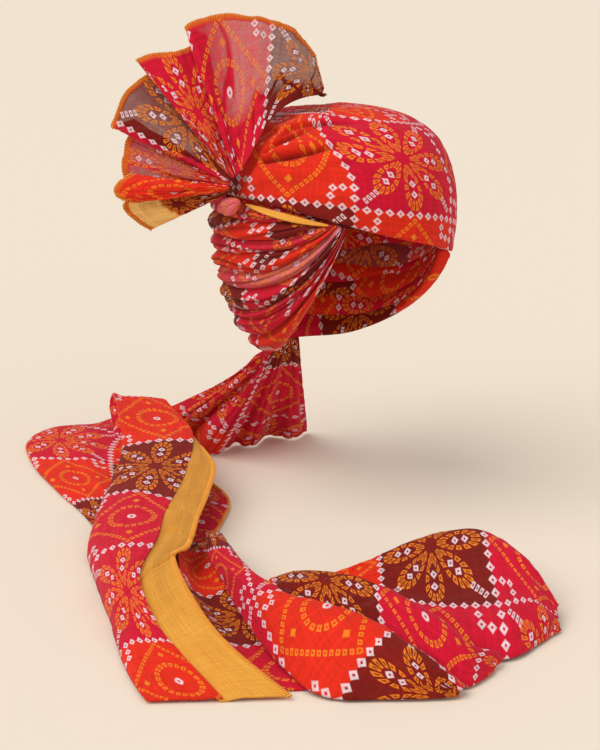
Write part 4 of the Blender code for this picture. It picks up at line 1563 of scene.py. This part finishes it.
near_grid = skin(NEAR_ROWS, 210, fold_section, 84)
tail_near_fold = lying("tail_near_fold", near_grid, printed_voile, (1, 1), 15, 0.0022, 0.0012,
                       ways=(-1, 1), printed=near_print)
middle_grid = skin(MIDDLE_ROWS, 150, fold_section, 66)
middle_edge = run_at(middle_grid, row_place(MIDDLE_ROWS, MAROON_ROW))
middle_thin = 0.8 * ramp((middle_edge + 0.004 - lengths(middle_grid, 0)) / 0.008)
tail_middle_fold = lying("tail_middle_fold", middle_grid, sheer_voile, (3 + middle_edge / FIELD, 0.2), 17,
                         ways=(-1, 1), shades={"thin": middle_thin})
far_grid = skin(FAR_ROWS, 180, far_section, 112)
far_edge = run_at(far_grid, row_place(FAR_ROWS, LAST_ROW))
far_start = (4 + far_edge / FIELD, 0.1)
tail_far_fold = lying("tail_far_fold", far_grid, printed_voile, far_start, 19, 0.0024, 0.0013, ways=(-1, 1))
tail_drop = make_drop()

# %% Overlocked edges
border, flap, lobe = (stretches[name] for name in ("gold_border", "tail_flap", "tail_lobe"))
border, lobe = border[8:], lobe[8:74]
border_overlock = overlock("border_overlock", border[:, -1], border[:, -4], 0.0019, 0.0021, 0.0011, 0.00046)
flap_overlock = overlock("flap_overlock", flap[:, -1], flap[:, -4], 0.0024, 0.0014, 0.0009, 0.0004)
lobe_overlock = overlock("lobe_overlock", lobe[:, 0], lobe[:, 3], 0.0024, 0.0012, 0.0008, 0.0004)

# %% [markdown]
# ## How large each stretch is when flat
#
# Laid flat, the stretches would be parts of one strip. Each size is a width and a length in metres, in round
# numbers that were chosen close to what the stretch itself measures, because voile hardly stretches. Cloth
# that the real strip hides or gathers away isn't counted.

# %% Flat sizes
FLATS = {
    # piece: width, length, how it is held, what it rests on
    crown: (0.16, 0.40, "stretched", "turn_1"),
    knot: (0.020, 0.030, "folded", "crown"),
    fan: (0.10, 0.37, "gathered", "knot"),
    tail_drop: (0.16, 0.16, "hung", "turn_9"),
    tail_lobe: (0.10, 0.28, "folded", "floor"),
    tail_front: (0.065, 0.63, "folded", "tail_lobe"),
    gold_border: (0.030, 0.43, "laid", "tail_front"),
    tail_flap: (0.034, 0.18, "laid", "floor"),
    tail_inner: (0.045, 0.27, "folded", "floor"),
    tail_near_fold: (0.048, 0.32, "folded", "floor"),
    tail_middle_fold: (0.045, 0.20, "folded", "tail_near_fold"),
    tail_far_fold: (0.112, 0.25, "folded", "floor"),
}
SEWN = {fan: fan_overlock, gold_border: border_overlock, tail_flap: flap_overlock, tail_lobe: lobe_overlock}

for piece, (width, length, held, base) in FLATS.items():
    [SEWN[piece]] if piece in SEWN else []

# %% What the grids measure
for name, grid in stretches.items():
    size = [np.linalg.norm(np.diff(grid, axis=way), axis=2).sum(axis=way).mean() for way in (1, 0)]
    print(name, "is %.3f m wide and %.3f m long" % tuple(size))
